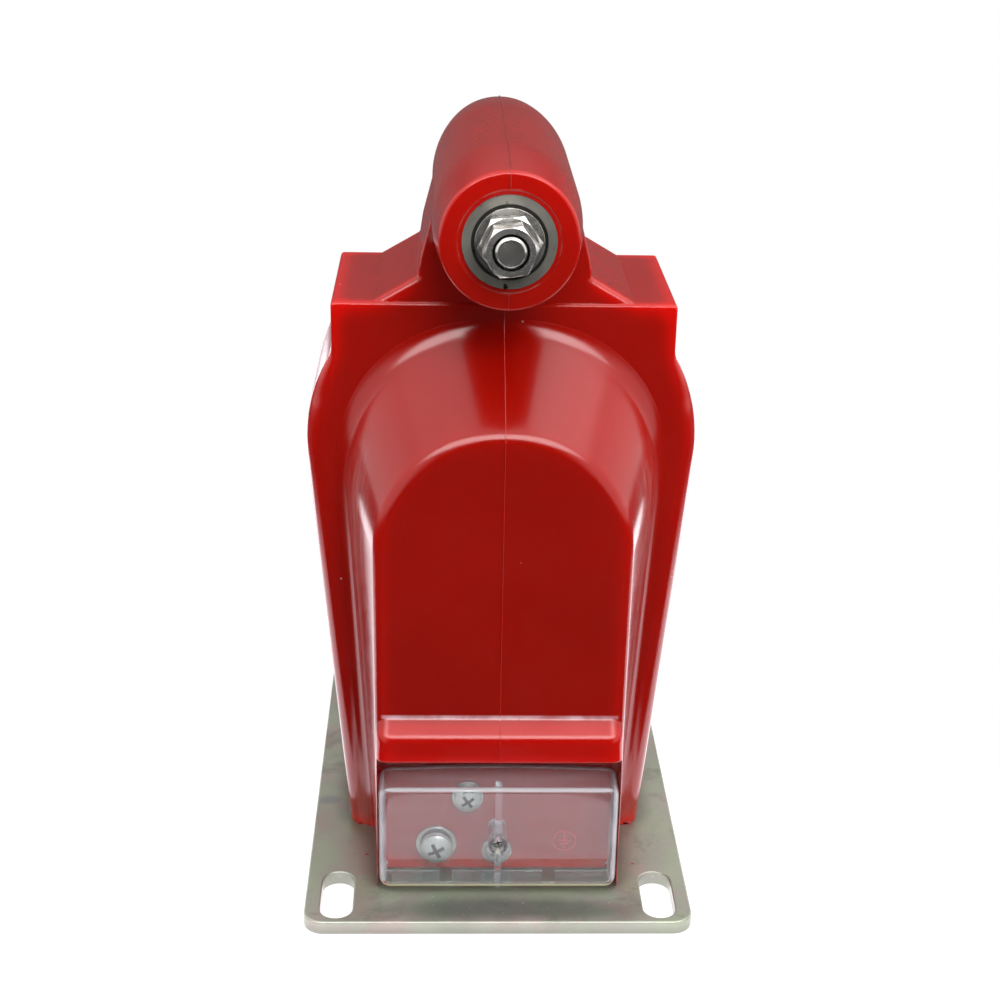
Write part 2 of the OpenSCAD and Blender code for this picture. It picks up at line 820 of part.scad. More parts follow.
// A hexagon nut with its corners turned off on both faces
module hex_nut(y, af, t, turn) {
    flat_r = af / 2;
    corner_r = flat_r / cos(30);
    drop = (corner_r - flat_r) * tan(30);
    color(steel_grey) translate([0, -y, tube_z]) rotate([90, 0, 0]) difference() {
        rotate([0, 0, turn]) cylinder(r = corner_r, h = t, $fn = 6);
        for (s = [0, 1]) translate([0, 0, s * t]) mirror([0, 0, s]) rotate_extrude()
            polygon([
                [flat_r, -over], [corner_r + over, -over],
                [corner_r + over, drop + over * tan(30)], [flat_r, 0]
            ]);
        translate([0, 0, -over]) cylinder(d = hv_stud_d + thread_clear, h = t + 2 * over);
    }
}

module lock_nut() {
    hex_nut(lock_nut_y, lock_nut_af, lock_nut_t, lock_nut_turn);
}

module hv_nut() {
    hex_nut(hv_nut_y, hv_nut_af, hv_nut_t, hv_nut_turn);
}

module front_hv_insert() { hv_insert(); }
module rear_hv_insert() { at_rear() hv_insert(); }
module front_hv_stud() { hv_stud(); }
module rear_hv_stud() { at_rear() hv_stud(); }
module front_hv_washer() { hv_washer(); }
module rear_hv_washer() { at_rear() hv_washer(); }
module front_lock_nut() { lock_nut(); }
module rear_lock_nut() { at_rear() lock_nut(); }
module front_hv_nut() { hv_nut(); }
module rear_hv_nut() { at_rear() hv_nut(); }

// Plan of the cover, shrunk by inset on its front and sides
module cover_plan(inset, back_y) {
    x = cover_x - inset;
    y = cover_y - inset;
    r = cover_corner_r - inset;
    translate([-x, -y + r]) square([2 * x, y - r - back_y]);
    translate([-x + r, -y]) square([2 * x - 2 * r, r + over]);
    for (s = [-1, 1]) translate([s * (x - r), -y + r]) circle(r = r);
}

// The body of the cover between its underside and its sloping top, with round top edges. The inset draws in the
// sides and the front, and the drop lowers the top.
module cover_solid(inset, z0, drop, back_y) {
    slope = atan2(cover_back_h - cover_front_h, cover_y - wall_y);
    x = cover_x - inset;
    r = cover_edge_r - inset;
    high = cover_back_h + cover_front_h;
    front_z = cover_z + cover_front_h - drop;
    intersection() {
        translate([0, 0, z0]) linear_extrude(high) cover_plan(inset, back_y);
        translate([-cover_x - over, -cover_y + inset, front_z + inset * tan(slope)]) rotate([90, 0, 90])
            linear_extrude(2 * (cover_x + over)) rounded_front(r, slope, cover_y, high);
        translate([0, -cover_y, front_z]) rotate([slope, 0, 0]) along_y(-high, high) {
            translate([-x, -high]) square([2 * x, high - r]);
            translate([-x + r, -high]) square([2 * (x - r), high]);
            for (s = [-1, 1]) translate([s * (x - r), -r]) circle(r = r);
        }
    }
}

module terminal_cover() {
    floor_back_y = cover_y - cover_floor_l;
    middle = cover_wall / 2;
    color(clear_grey) difference() {
        union() {
            difference() {
                cover_solid(0, cover_z, 0, wall_y);
                cover_solid(cover_wall, cover_z + cover_wall, cover_wall, wall_y - over);
                translate([-chamber_x, -floor_back_y, cover_z - over])
                    cube([2 * chamber_x, cover_floor_l + chamber_depth, cover_wall + over]);
            }
            intersection() {
                cover_solid(middle, cover_z + middle, middle, wall_y);
                translate([-rib_t / 2, -cover_y, cover_z]) cube([rib_t, rib_l, cover_back_h]);
            }
            forward_rod(0, -wall_y, cover_screw_z, boss_d, cover_y - wall_y - middle);
        }
        for (s = [-1, 1]) translate([s * notch_x - notch_w / 2, -floor_back_y - notch_l, cover_z - over])
            cube([notch_w, notch_l + over, cover_wall + 2 * over]);
        forward_rod(0, -wall_y + over, cover_screw_z, boss_bore_d, cover_y);
        forward_rod(0, -cover_seat_y, cover_screw_z, boss_recess_d, boss_recess_l + over);
    }
}

// A cross recess cut into a screw head
module cross_recess(head_d, depth) {
    for (a = [0, 90]) rotate([0, 0, a])
        cube([head_d * recess_share, head_d * web_share, 2 * depth], center = true);
}

// A pan-head screw: its seat is at y and its shank runs back to shank_y
module pan_screw(x, z, y, head_d, screw_d, shank_y, turn) {
    head_t = head_d * head_share;
    dome_r = head_d * dome_share;
    color(steel_grey) translate([x, -y, z]) rotate([90, 0, 0]) difference() {
        union() {
            intersection() {
                cylinder(d = head_d, h = head_t);
                translate([0, 0, head_t - dome_r]) sphere(r = dome_r);
            }
            translate([0, 0, shank_y - y]) cylinder(d = screw_d, h = y - shank_y + head_t / 4);
        }
        translate([0, 0, head_t]) rotate([0, 0, turn]) cross_recess(head_d, head_t * recess_depth_share);
    }
}

module lv_washer(x, z, y, d, t, screw_d) {
    color(steel_grey) difference() {
        forward_rod(x, -y, z, d, t);
        forward_rod(x, -y + over, z, screw_d + hole_clear, t + 2 * over);
    }
}

module lv_blank(x, z, d) {
    forward_rod(x, -insert_back_y, z, d, lv_insert_l);
}

module lv_insert(x, z, d, screw_d) {
    color(brass_tone) difference() {
        lv_blank(x, z, d);
        forward_rod(x, -screw_tip_y, z, screw_d + thread_clear, lv_insert_l);
    }
}

module cover_insert() {
    lv_insert(0, cover_screw_z, cover_insert_d, cover_screw_d);
}

module cover_screw() {
    pan_screw(0, cover_screw_z, cover_seat_y, cover_head_d, cover_screw_d, screw_tip_y, cover_screw_turn);
}

module left_terminal_insert() {
    lv_insert(-left_x, left_z, left_insert_d, left_screw_d);
}

module left_terminal_washer() {
    lv_washer(-left_x, left_z, wall_y, left_washer_d, lv_washer_t, left_screw_d);
}

module left_spring_washer() {
    y = wall_y + lv_washer_t;
    color(steel_grey) difference() {
        forward_rod(-left_x, -y, left_z, left_spring_d, lv_spring_t);
        forward_rod(-left_x, -y + over, left_z, left_screw_d + hole_clear, lv_spring_t + 2 * over);
        translate([-left_x, -y - lv_spring_t - over, left_z]) rotate([0, spring_turn, 0])
            translate([0, 0, -spring_split / 2])
                cube([left_spring_d, lv_spring_t + 2 * over, spring_split]);
    }
}

module left_terminal_screw() {
    y = wall_y + lv_washer_t + lv_spring_t;
    pan_screw(-left_x, left_z, y, left_head_d, left_screw_d, screw_tip_y, left_screw_turn);
}

module top_terminal_insert() {
    lv_insert(-top_x, top_z, small_insert_d, small_screw_d);
}

module top_terminal_washer() {
    lv_washer(-top_x, top_z, wall_y, top_washer_d, lv_washer_t, small_screw_d);
}

module top_terminal_screw() {
    pan_screw(-top_x, top_z, wall_y + lv_washer_t, top_head_d, small_screw_d, screw_tip_y, top_screw_turn);
}

module centre_terminal_insert() {
    lv_insert(0, centre_z, small_insert_d, small_screw_d);
}

module centre_terminal_washer() {
    lv_washer(0, centre_z, wall_y, centre_washer_d, lv_washer_t, small_screw_d);
}

module centre_terminal_screw() {
    pan_screw(0, centre_z, wall_y + lv_washer_t, centre_head_d, small_screw_d, screw_tip_y, 0);
}

base_plate();
base_screws();
base_inserts();
resin_body();
iron_core();
winding_tube();
secondary_winding();
barrier_tube();
primary_winding();
front_hv_lead();
rear_hv_lead();
top_terminal_lead();
centre_terminal_lead();
earth_lead();
front_hv_insert();
front_hv_stud();
front_hv_washer();
front_lock_nut();
front_hv_nut();
rear_hv_insert();
rear_hv_stud();
rear_hv_washer();
rear_lock_nut();
rear_hv_nut();
terminal_cover();
cover_screw();
cover_insert();
left_terminal_insert();
left_terminal_washer();
left_spring_washer();
left_terminal_screw();
top_terminal_insert();
top_terminal_washer();
top_terminal_screw();
centre_terminal_insert();
centre_terminal_washer();
centre_terminal_screw();
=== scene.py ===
import math
import bpy
import numpy as np
from mathutils import Matrix, Vector


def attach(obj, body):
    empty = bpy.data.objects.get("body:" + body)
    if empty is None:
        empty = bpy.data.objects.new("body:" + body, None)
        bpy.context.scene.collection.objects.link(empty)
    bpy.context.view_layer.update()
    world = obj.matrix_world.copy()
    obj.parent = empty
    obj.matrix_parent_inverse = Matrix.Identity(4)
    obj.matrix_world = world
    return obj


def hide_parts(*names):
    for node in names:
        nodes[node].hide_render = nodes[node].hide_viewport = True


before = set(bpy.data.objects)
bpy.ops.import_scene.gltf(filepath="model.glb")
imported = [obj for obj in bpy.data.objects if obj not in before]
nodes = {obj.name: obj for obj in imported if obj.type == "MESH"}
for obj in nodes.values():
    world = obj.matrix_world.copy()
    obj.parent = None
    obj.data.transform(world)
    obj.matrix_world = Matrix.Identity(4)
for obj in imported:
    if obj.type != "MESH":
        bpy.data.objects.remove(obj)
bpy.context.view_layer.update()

# Shapes and places are millimetres in the part's frame; mm turns them to Blender's metres.
mm = 0.001
tubeZ = 272.3                              # height of the tube's axis


# Meshes

# An object with a mesh of its own, whose points are given in millimetres.
def newObject(name, verts, faces):
    mesh = bpy.data.meshes.new(name)
    mesh.from_pydata((np.asarray(verts, float) * mm).tolist(), [], faces)
    mesh.validate()
    made = bpy.data.objects.new(name, mesh)
    bpy.context.scene.collection.objects.link(made)
    return made


# Quads between rows of points: point (i, j) is number i * columns + j, and the last column joins the first.
def gridFaces(rows, columns):
    i, j = np.meshgrid(np.arange(rows - 1), np.arange(columns), indexing="ij")
    k = (j + 1) % columns
    quads = np.stack([i * columns + j, i * columns + k, (i + 1) * columns + k, (i + 1) * columns + j], -1)
    return quads.reshape(-1, 4).tolist()


# A closed skin over a grid of points [row, column, xyz]; flat faces close the first and the last row.
def skin(name, points):
    rows, columns = points.shape[:2]
    faces = gridFaces(rows, columns)
    faces.append(list(range(columns - 1, -1, -1)))
    faces.append(list(range((rows - 1) * columns, rows * columns)))
    return newObject(name, points.reshape(-1, 3), faces)


# A skin over a grid whose rows close on themselves and whose last row joins the first, as a ring does.
def ringSkin(name, points):
    rows, columns = points.shape[:2]
    faces = np.array(gridFaces(rows + 1, columns)) % (rows * columns)
    return newObject(name, points.reshape(-1, 3), faces.tolist())


# Unit vectors across an axis: side, and up so that side, up and the axis are a right-handed set.
def acrossAxis(axis):
    axis = np.asarray(axis, float)
    side = np.cross([0, 0, 1.0], axis) if abs(axis[2]) < 0.9 else np.array([1.0, 0, 0])
    side = side / np.linalg.norm(side)
    return side, np.cross(axis, side)


# The grid of a revolved piece. The profile holds (distance along the axis, radius) pairs, and each pair
# becomes a circle: centre + distance * axis + radius * (cos a * side + sin a * up).
def revolved(profile, centre, axis, steps):
    profile = np.asarray(profile, float)
    axis = np.asarray(axis, float)
    side, up = acrossAxis(axis)
    a = np.linspace(0, 2 * np.pi, steps, endpoint=False)
    ring = np.cos(a)[:, None] * side + np.sin(a)[:, None] * up
    return np.asarray(centre, float) + profile[:, 0, None, None] * axis + profile[:, 1, None, None] * ring


def turned(name, profile, centre, axis, steps):
    return skin(name, revolved(profile, centre, axis, steps))


# Points of a circular arc: centre + radius * (cos a, sin a), angles in degrees.
def arc(centre, radius, start, end, steps=12):
    a = np.radians(np.linspace(start, end, steps))
    return np.stack([centre[0] + radius * np.cos(a), centre[1] + radius * np.sin(a)], -1)


# A closed path whose corners are arcs of the given radii that touch both sides.
def roundedPath(corners, radii, steps=7):
    corners = np.asarray(corners, float)
    path = []
    for i, (corner, radius) in enumerate(zip(corners, radii)):
        before = corners[i - 1] - corner
        after = corners[(i + 1) % len(corners)] - corner
        before = before / np.linalg.norm(before)
        after = after / np.linalg.norm(after)
        half = math.acos(np.clip(before @ after, -1, 1)) / 2
        if radius < 0.01 or half > math.radians(89):
            path.append(corner[None])
            continue
        middle = corner + (before + after) / np.linalg.norm(before + after) * radius / math.sin(half)
        start = corner + before * radius / math.tan(half) - middle
        end = corner + after * radius / math.tan(half) - middle
        a0 = math.atan2(start[1], start[0])
        a1 = math.atan2(end[1], end[0])
        turn = (a1 - a0 + math.pi) % (2 * math.pi) - math.pi
        a = a0 + turn * np.linspace(0, 1, steps)
        path.append(middle + radius * np.stack([np.cos(a), np.sin(a)], -1))
    return np.vstack(path)


# The closed path with points added so that no stretch is longer than step.
def spaced(path, step):
    out = []
    for a, b in zip(path, np.roll(path, -1, axis=0)):
        count = max(1, int(math.ceil(np.linalg.norm(b - a) / step)))
        out.append(a + (b - a) * np.linspace(0, 1, count, endpoint=False)[:, None])
    return np.vstack(out)


# Unit normals to the left of a closed path, which point inwards when it runs anticlockwise.
def inwardNormals(path):
    ahead = np.roll(path, -1, axis=0) - path
    behind = path - np.roll(path, 1, axis=0)
    ahead /= np.linalg.norm(ahead, axis=1)[:, None]
    behind /= np.linalg.norm(behind, axis=1)[:, None]
    tangent = ahead + behind
    tangent /= np.linalg.norm(tangent, axis=1)[:, None]
    return np.stack([-tangent[:, 1], tangent[:, 0]], -1)


# An outline in X and Z carried from the back to the front, with a round rim at both ends. A point moves
# inwards by rim * (1 - sin a) as the depth falls short by rim * (1 - cos a); the rim may change along the
# outline.
def slabSkin(name, path, rim, depth, steps=9):
    rim = np.broadcast_to(rim, len(path))
    inward = inwardNormals(path)
    a = np.radians(np.linspace(0, 90, steps))
    rear = [(depth - rim * (1 - np.cos(t)), rim * (1 - np.sin(t))) for t in a]
    front = [(-y, move) for y, move in reversed(rear)]
    rows = []
    for y, move in rear + front:
        flat = path + inward * move[:, None]
        rows.append(np.stack([flat[:, 0], y, flat[:, 1]], -1))
    return skin(name, np.array(rows))


def applyModifiers(piece):
    graph = bpy.context.evaluated_depsgraph_get()
    mesh = bpy.data.meshes.new_from_object(piece.evaluated_get(graph))
    piece.modifiers.clear()
    old = piece.data
    piece.data = mesh
    bpy.data.meshes.remove(old)
    mesh.name = piece.name


# Joins or cuts closed meshes one after another, and removes the tools.
def boolean(target, tools, operation):
    for tool in tools:
        step = target.modifiers.new("join", "BOOLEAN")
        step.operation = operation
        step.solver = "MANIFOLD"
        step.object = tool
        applyModifiers(target)
        bpy.data.objects.remove(tool)
    return target


def boxMesh(name, low, high):
    corners = [[x, y, z] for x in (low[0], high[0]) for y in (low[1], high[1]) for z in (low[2], high[2])]
    faces = [[0, 1, 3, 2], [4, 6, 7, 5], [0, 4, 5, 1], [2, 3, 7, 6], [0, 2, 6, 4], [1, 5, 7, 3]]
    return newObject(name, corners, faces)


# Puts several meshes into one new object, and removes them.
def joined(pieces, name):
    verts, faces, start = [], [], 0
    for piece in pieces:
        co = np.empty(len(piece.data.vertices) * 3)
        piece.data.vertices.foreach_get("co", co)
        verts.append(co.reshape(-1, 3) / mm)
        faces += [[v + start for v in face.vertices] for face in piece.data.polygons]
        start += len(piece.data.vertices)
        bpy.data.objects.remove(piece)
    return newObject(name, np.vstack(verts), faces)


# Shades, dresses and places a finished piece in the frame. It is smooth except across edges sharper than the
# angle, in degrees.
def finish(piece, material, replaced=(), angle=32, weigh=True):
    mesh = piece.data
    mesh.polygons.foreach_set("use_smooth", np.ones(len(mesh.polygons), bool))
    mesh.set_sharp_from_angle(angle=math.radians(angle))
    if weigh:
        piece.modifiers.new("weigh", "WEIGHTED_NORMAL").keep_sharp = True
    mesh.materials.clear()
    mesh.materials.append(material)
    if replaced:
        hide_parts(*replaced)
    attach(piece, "root")
    print("made", piece.name, len(mesh.vertices), "points")


# Camera, fitted to the photograph

cameraSet = {
    "place": (-23.49, -705.71, 429.20),  # mm
    "focal": 64.78,                      # mm on a sensor 36 mm wide
    "yaw": 1.99,
    "pitch": 22.17,
    "roll": 1.13,
}


def makeCamera(s):
    yaw, pitch, roll = (math.radians(s[k]) for k in ("yaw", "pitch", "roll"))
    forward = Vector((math.sin(yaw) * math.cos(pitch), math.cos(yaw) * math.cos(pitch), -math.sin(pitch)))
    level = forward.cross(Vector((0, 0, 1))).normalized()
    upright = level.cross(forward)
    right = level * math.cos(roll) + upright * math.sin(roll)
    up = upright * math.cos(roll) - level * math.sin(roll)
    data = bpy.data.cameras.new("camera")
    data.lens = s["focal"]
    data.sensor_width = 36
    camera = bpy.data.objects.new("camera", data)
    bpy.context.scene.collection.objects.link(camera)
    turn = Matrix((right, up, -forward)).transposed().to_4x4()
    camera.matrix_world = Matrix.Translation(Vector(s["place"]) * mm) @ turn
    bpy.context.scene.camera = camera


makeCamera(cameraSet)
print("camera made")


# Node trees

# An sRGB hex colour as linear RGBA.
def linear(code):
    parts = [int(code[i:i + 2], 16) / 255 for i in (1, 3, 5)]
    return tuple(p / 12.92 if p <= 0.04045 else ((p + 0.055) / 1.055) ** 2.4 for p in parts) + (1.0,)


# Adds a node. The settings are its own properties, or stops: a ramp's pairs of a place and a hex colour or
# grey. Inputs fill the live sockets in order, or go by name with underscores for spaces. Each is a value, a
# node, of which the first live output is meant, or a (node, output) pair.
def add(tree, kind, settings=None, *inputs, **named):
    node = tree.nodes.new("ShaderNode" + kind)
    settings = dict(settings or {})
    for i, (place, shade) in enumerate(settings.pop("stops", ())):
        elements = node.color_ramp.elements
        element = elements[i] if i < len(elements) else elements.new(place)
        element.position = place
        element.color = linear(shade) if isinstance(shade, str) else (shade, shade, shade, 1)
    for key, value in settings.items():
        setattr(node, key, value)
    live = [socket for socket in node.inputs if socket.enabled]
    wanted = list(zip(live, inputs)) + [(node.inputs[key.replace("_", " ")], named[key]) for key in named]
    for socket, value in wanted:
        if isinstance(value, bpy.types.Node):
            tree.links.new(next(out for out in value.outputs if out.enabled), socket)
        elif isinstance(value, tuple) and isinstance(value[0], bpy.types.Node):
            tree.links.new(value[0].outputs[value[1]], socket)
        else:
            socket.default_value = value
    return node


# Settings that many nodes share.
smooth = {"interpolation_type": "SMOOTHSTEP"}
times = {"operation": "MULTIPLY"}
minus = {"operation": "SUBTRACT"}
larger = {"operation": "MAXIMUM"}
unsigned = {"operation": "ABSOLUTE"}
length = {"operation": "LENGTH"}
colours = {"data_type": "RGBA"}


# A soft mask: the product of smooth steps. A step is a value, the range over which it rises from 0 to 1, and
# two other levels where it doesn't run from 0 to 1.
def mask(tree, *steps):
    share = None
    for step in steps:
        part = add(tree, "MapRange", smooth, *step)
        share = part if share is None else add(tree, "Math", times, share, part)
    return share


# A colour under layers of others, each a share and a hex colour.
def painted(tree, colour, *layers):
    for share, code in layers:
        colour = add(tree, "Mix", colours, share, colour, linear(code))
    return colour


# A point's height over the tube's axis, which runs along Y, and its distance from that axis.
def fromAxis(tree, x, z):
    height = add(tree, "Math", minus, z, tubeZ * mm)
    return height, add(tree, "VectorMath", length, add(tree, "CombineXYZ", None, x, height))


# A new material with an empty tree, and links to a point's place on the object, whole and by axis.
def newMaterial(name):
    made = bpy.data.materials.new(name)
    made.use_nodes = True
    tree = made.node_tree
    tree.nodes.clear()
    spot = add(tree, "TexCoord"), "Object"
    split = add(tree, "SeparateXYZ", None, spot)
    return made, tree, spot, [(split, axis) for axis in "XYZ"]


# Studio. The lamps light the matt side of a surface, and the world is what a glossy surface mirrors:
# a bright ceiling, bright sides, a dim far wall and a dark room in front.

studioSet = {
    "ambient": 0.20,                       # world on matt surfaces, 1 is white
    "ceiling": 2.1,
    "front": 8.0,                          # a softbox high in front
    "sides": 1.3,
    "strip": 4.0,                          # bright strips on the floor at both sides, in reflections
    "farWall": 0.17,
    "room": 0.015,
    "topPlace": (40, -120, 800), "topSize": (700, 500), "topPower": 3.2,
    "sidePlace": (520, 60, 300), "sideSize": (260, 300), "sidePower": 0.35, "sideSpread": 70,
    "keyPlace": (160, -620, 640), "keySize": (420, 320), "keyPower": 4.1,
    "floorReach": 1500,
    "paper": 2.7,                          # the lit floor paper in reflections
    "paperFront": -178,                    # its front edge, where the dark room begins
    "paperRadius": 105,
    "paperReach": (260, 430),              # it fades to the far wall's level between these distances
}


def areaLight(name, place, size, power, aim):
    data = bpy.data.lights.new(name, "AREA")
    data.shape = "RECTANGLE"
    data.size, data.size_y = size[0] * mm, size[1] * mm
    data.energy = power
    lamp = bpy.data.objects.new(name, data)
    bpy.context.scene.collection.objects.link(lamp)
    start = Vector(place) * mm
    lamp.location = start
    lamp.rotation_euler = (Vector(aim) * mm - start).to_track_quat("-Z", "Y").to_euler()
    lamp.visible_glossy = False
    return data


# The world: x, y and z are the parts of a ray's direction.
def makeWorld(s):
    world = bpy.data.worlds.new("studio")
    bpy.context.scene.world = world
    world.use_nodes = True
    tree = world.node_tree
    tree.nodes.clear()
    path = add(tree, "LightPath")
    split = add(tree, "SeparateXYZ", None, (add(tree, "TexCoord"), "Generated"))
    x, y, z = ((split, axis) for axis in "XYZ")
    across = add(tree, "Math", unsigned, x)
    # The far wall grows brighter towards the ceiling.
    gloss = mask(tree, (y, -0.1, 0.2, s["room"], s["farWall"]), (z, 0.20, 0.46, 1.0, 2.1))
    sides = mask(tree, (across, 0.3, 0.75, 0.0, s["sides"]))
    # The ceiling is dim straight above the part, brighter beside it, and brightest on the right.
    ceiling = mask(tree, (z, 0.42, 0.66, 0.0, s["ceiling"]), (across, 0.10, 0.50, 0.60, 0.95),
                   (x, -0.5, 0.5, 0.80, 1.25))
    # The front softbox fills the directions 27 to 58 degrees up, ahead of the part.
    box = mask(tree, (z, 0.45, 0.58, 0.0, s["front"]), (z, 0.86, 0.78), (y, -0.3, -0.5))
    for light in (sides, ceiling, box):
        gloss = add(tree, "Math", larger, gloss, light)
    seen = add(tree, "Math", larger, (path, "Is Camera Ray"), (path, "Is Transmission Ray"))
    level = add(tree, "Mix", None, (path, "Is Glossy Ray"), s["ambient"], gloss)
    background = add(tree, "Background", None, (1, 1, 1, 1), add(tree, "Mix", None, seen, level, 1.0))
    add(tree, "OutputWorld", None, background)


def makeFloor(s):
    reach = s["floorReach"]
    corners = [(-reach, -reach, 0), (reach, -reach, 0), (reach, reach, 0), (-reach, reach, 0)]
    floor = newObject("floor", corners, [[0, 1, 2, 3]])
    made, tree, spot, (x, y, z) = newMaterial("floorPaper")
    path = add(tree, "LightPath")
    across = add(tree, "Math", unsigned, x)
    away = add(tree, "VectorMath", length, spot)
    # White to the camera, with a little of the real shading near the part so that its shadow stays.
    matt = add(tree, "BsdfDiffuse", None, (0.6, 0.6, 0.6, 1))
    thin = add(tree, "BsdfDiffuse", None, (0.3, 0.3, 0.3, 1))
    white = add(tree, "Emission", None, (1, 1, 1, 1), 1.0)
    shaded = add(tree, "AddShader", None, add(tree, "Emission", None, (1, 1, 1, 1), 0.87), thin)
    watched = add(tree, "MixShader", None, mask(tree, (away, 0.16, 0.26)), shaded, white)
    # In reflections the paper ends in front in a round edge, and fades out behind and beside the part.
    edge = s["paperRadius"]
    shifted = add(tree, "Math", minus, y, (s["paperFront"] + edge) * mm)
    ahead = add(tree, "Math", {"operation": "MINIMUM"}, shifted, 0.0)
    radius = add(tree, "VectorMath", length, add(tree, "CombineXYZ", None, x, ahead))
    inDisc = mask(tree, (radius, (edge + 4) * mm, (edge - 4) * mm))
    bright = add(tree, "Math", larger, inDisc, mask(tree, (shifted, -0.004, 0.004)))
    # A dark room lies behind the part too, for its rear face.
    rearRoom = mask(tree, (y, 0.168, 0.188), (across, 0.17, 0.11))
    bright = add(tree, "Math", times, bright, add(tree, "Math", minus, 1.0, rearRoom))
    start, end = s["paperReach"]
    lit = mask(tree, (away, start * mm, end * mm, s["paper"], s["farWall"]))
    level = add(tree, "Mix", None, bright, s["room"], lit)
    # The strips lie 190 to 420 mm out at both sides, and begin behind the part.
    strip = mask(tree, (across, 0.19, 0.25, 0.0, s["strip"]), (across, 0.42, 0.36),
                 (y, 0.11, 0.20), (y, 0.93, 0.82))
    level = add(tree, "Math", larger, level, strip)
    mirrored = add(tree, "Emission", None, (1, 0.95, 1, 1), level)
    seen = add(tree, "Math", larger, (path, "Is Camera Ray"), (path, "Is Transmission Ray"))
    first = add(tree, "MixShader", None, (path, "Is Glossy Ray"), matt, mirrored)
    add(tree, "OutputMaterial", None, add(tree, "MixShader", None, seen, first, watched))
    floor.data.materials.append(made)


def makeStudio(s):
    bpy.context.scene.view_settings.view_transform = "Standard"
    makeWorld(s)
    areaLight("topSoftbox", s["topPlace"], s["topSize"], s["topPower"], (0, 0, 150))
    areaLight("keySoftbox", s["keyPlace"], s["keySize"], s["keyPower"], (0, -60, 180))
    x, y, z = s["sidePlace"]
    for name, side in (("rightSoftbox", 1), ("leftSoftbox", -1)):
        lamp = areaLight(name, (side * x, y, z), s["sideSize"], s["sidePower"], (0, y - 60, z - 20))
        lamp.spread = math.radians(s["sideSpread"])
    makeFloor(s)


makeStudio(studioSet)
print("studio made")


# Materials. Their lengths are metres.

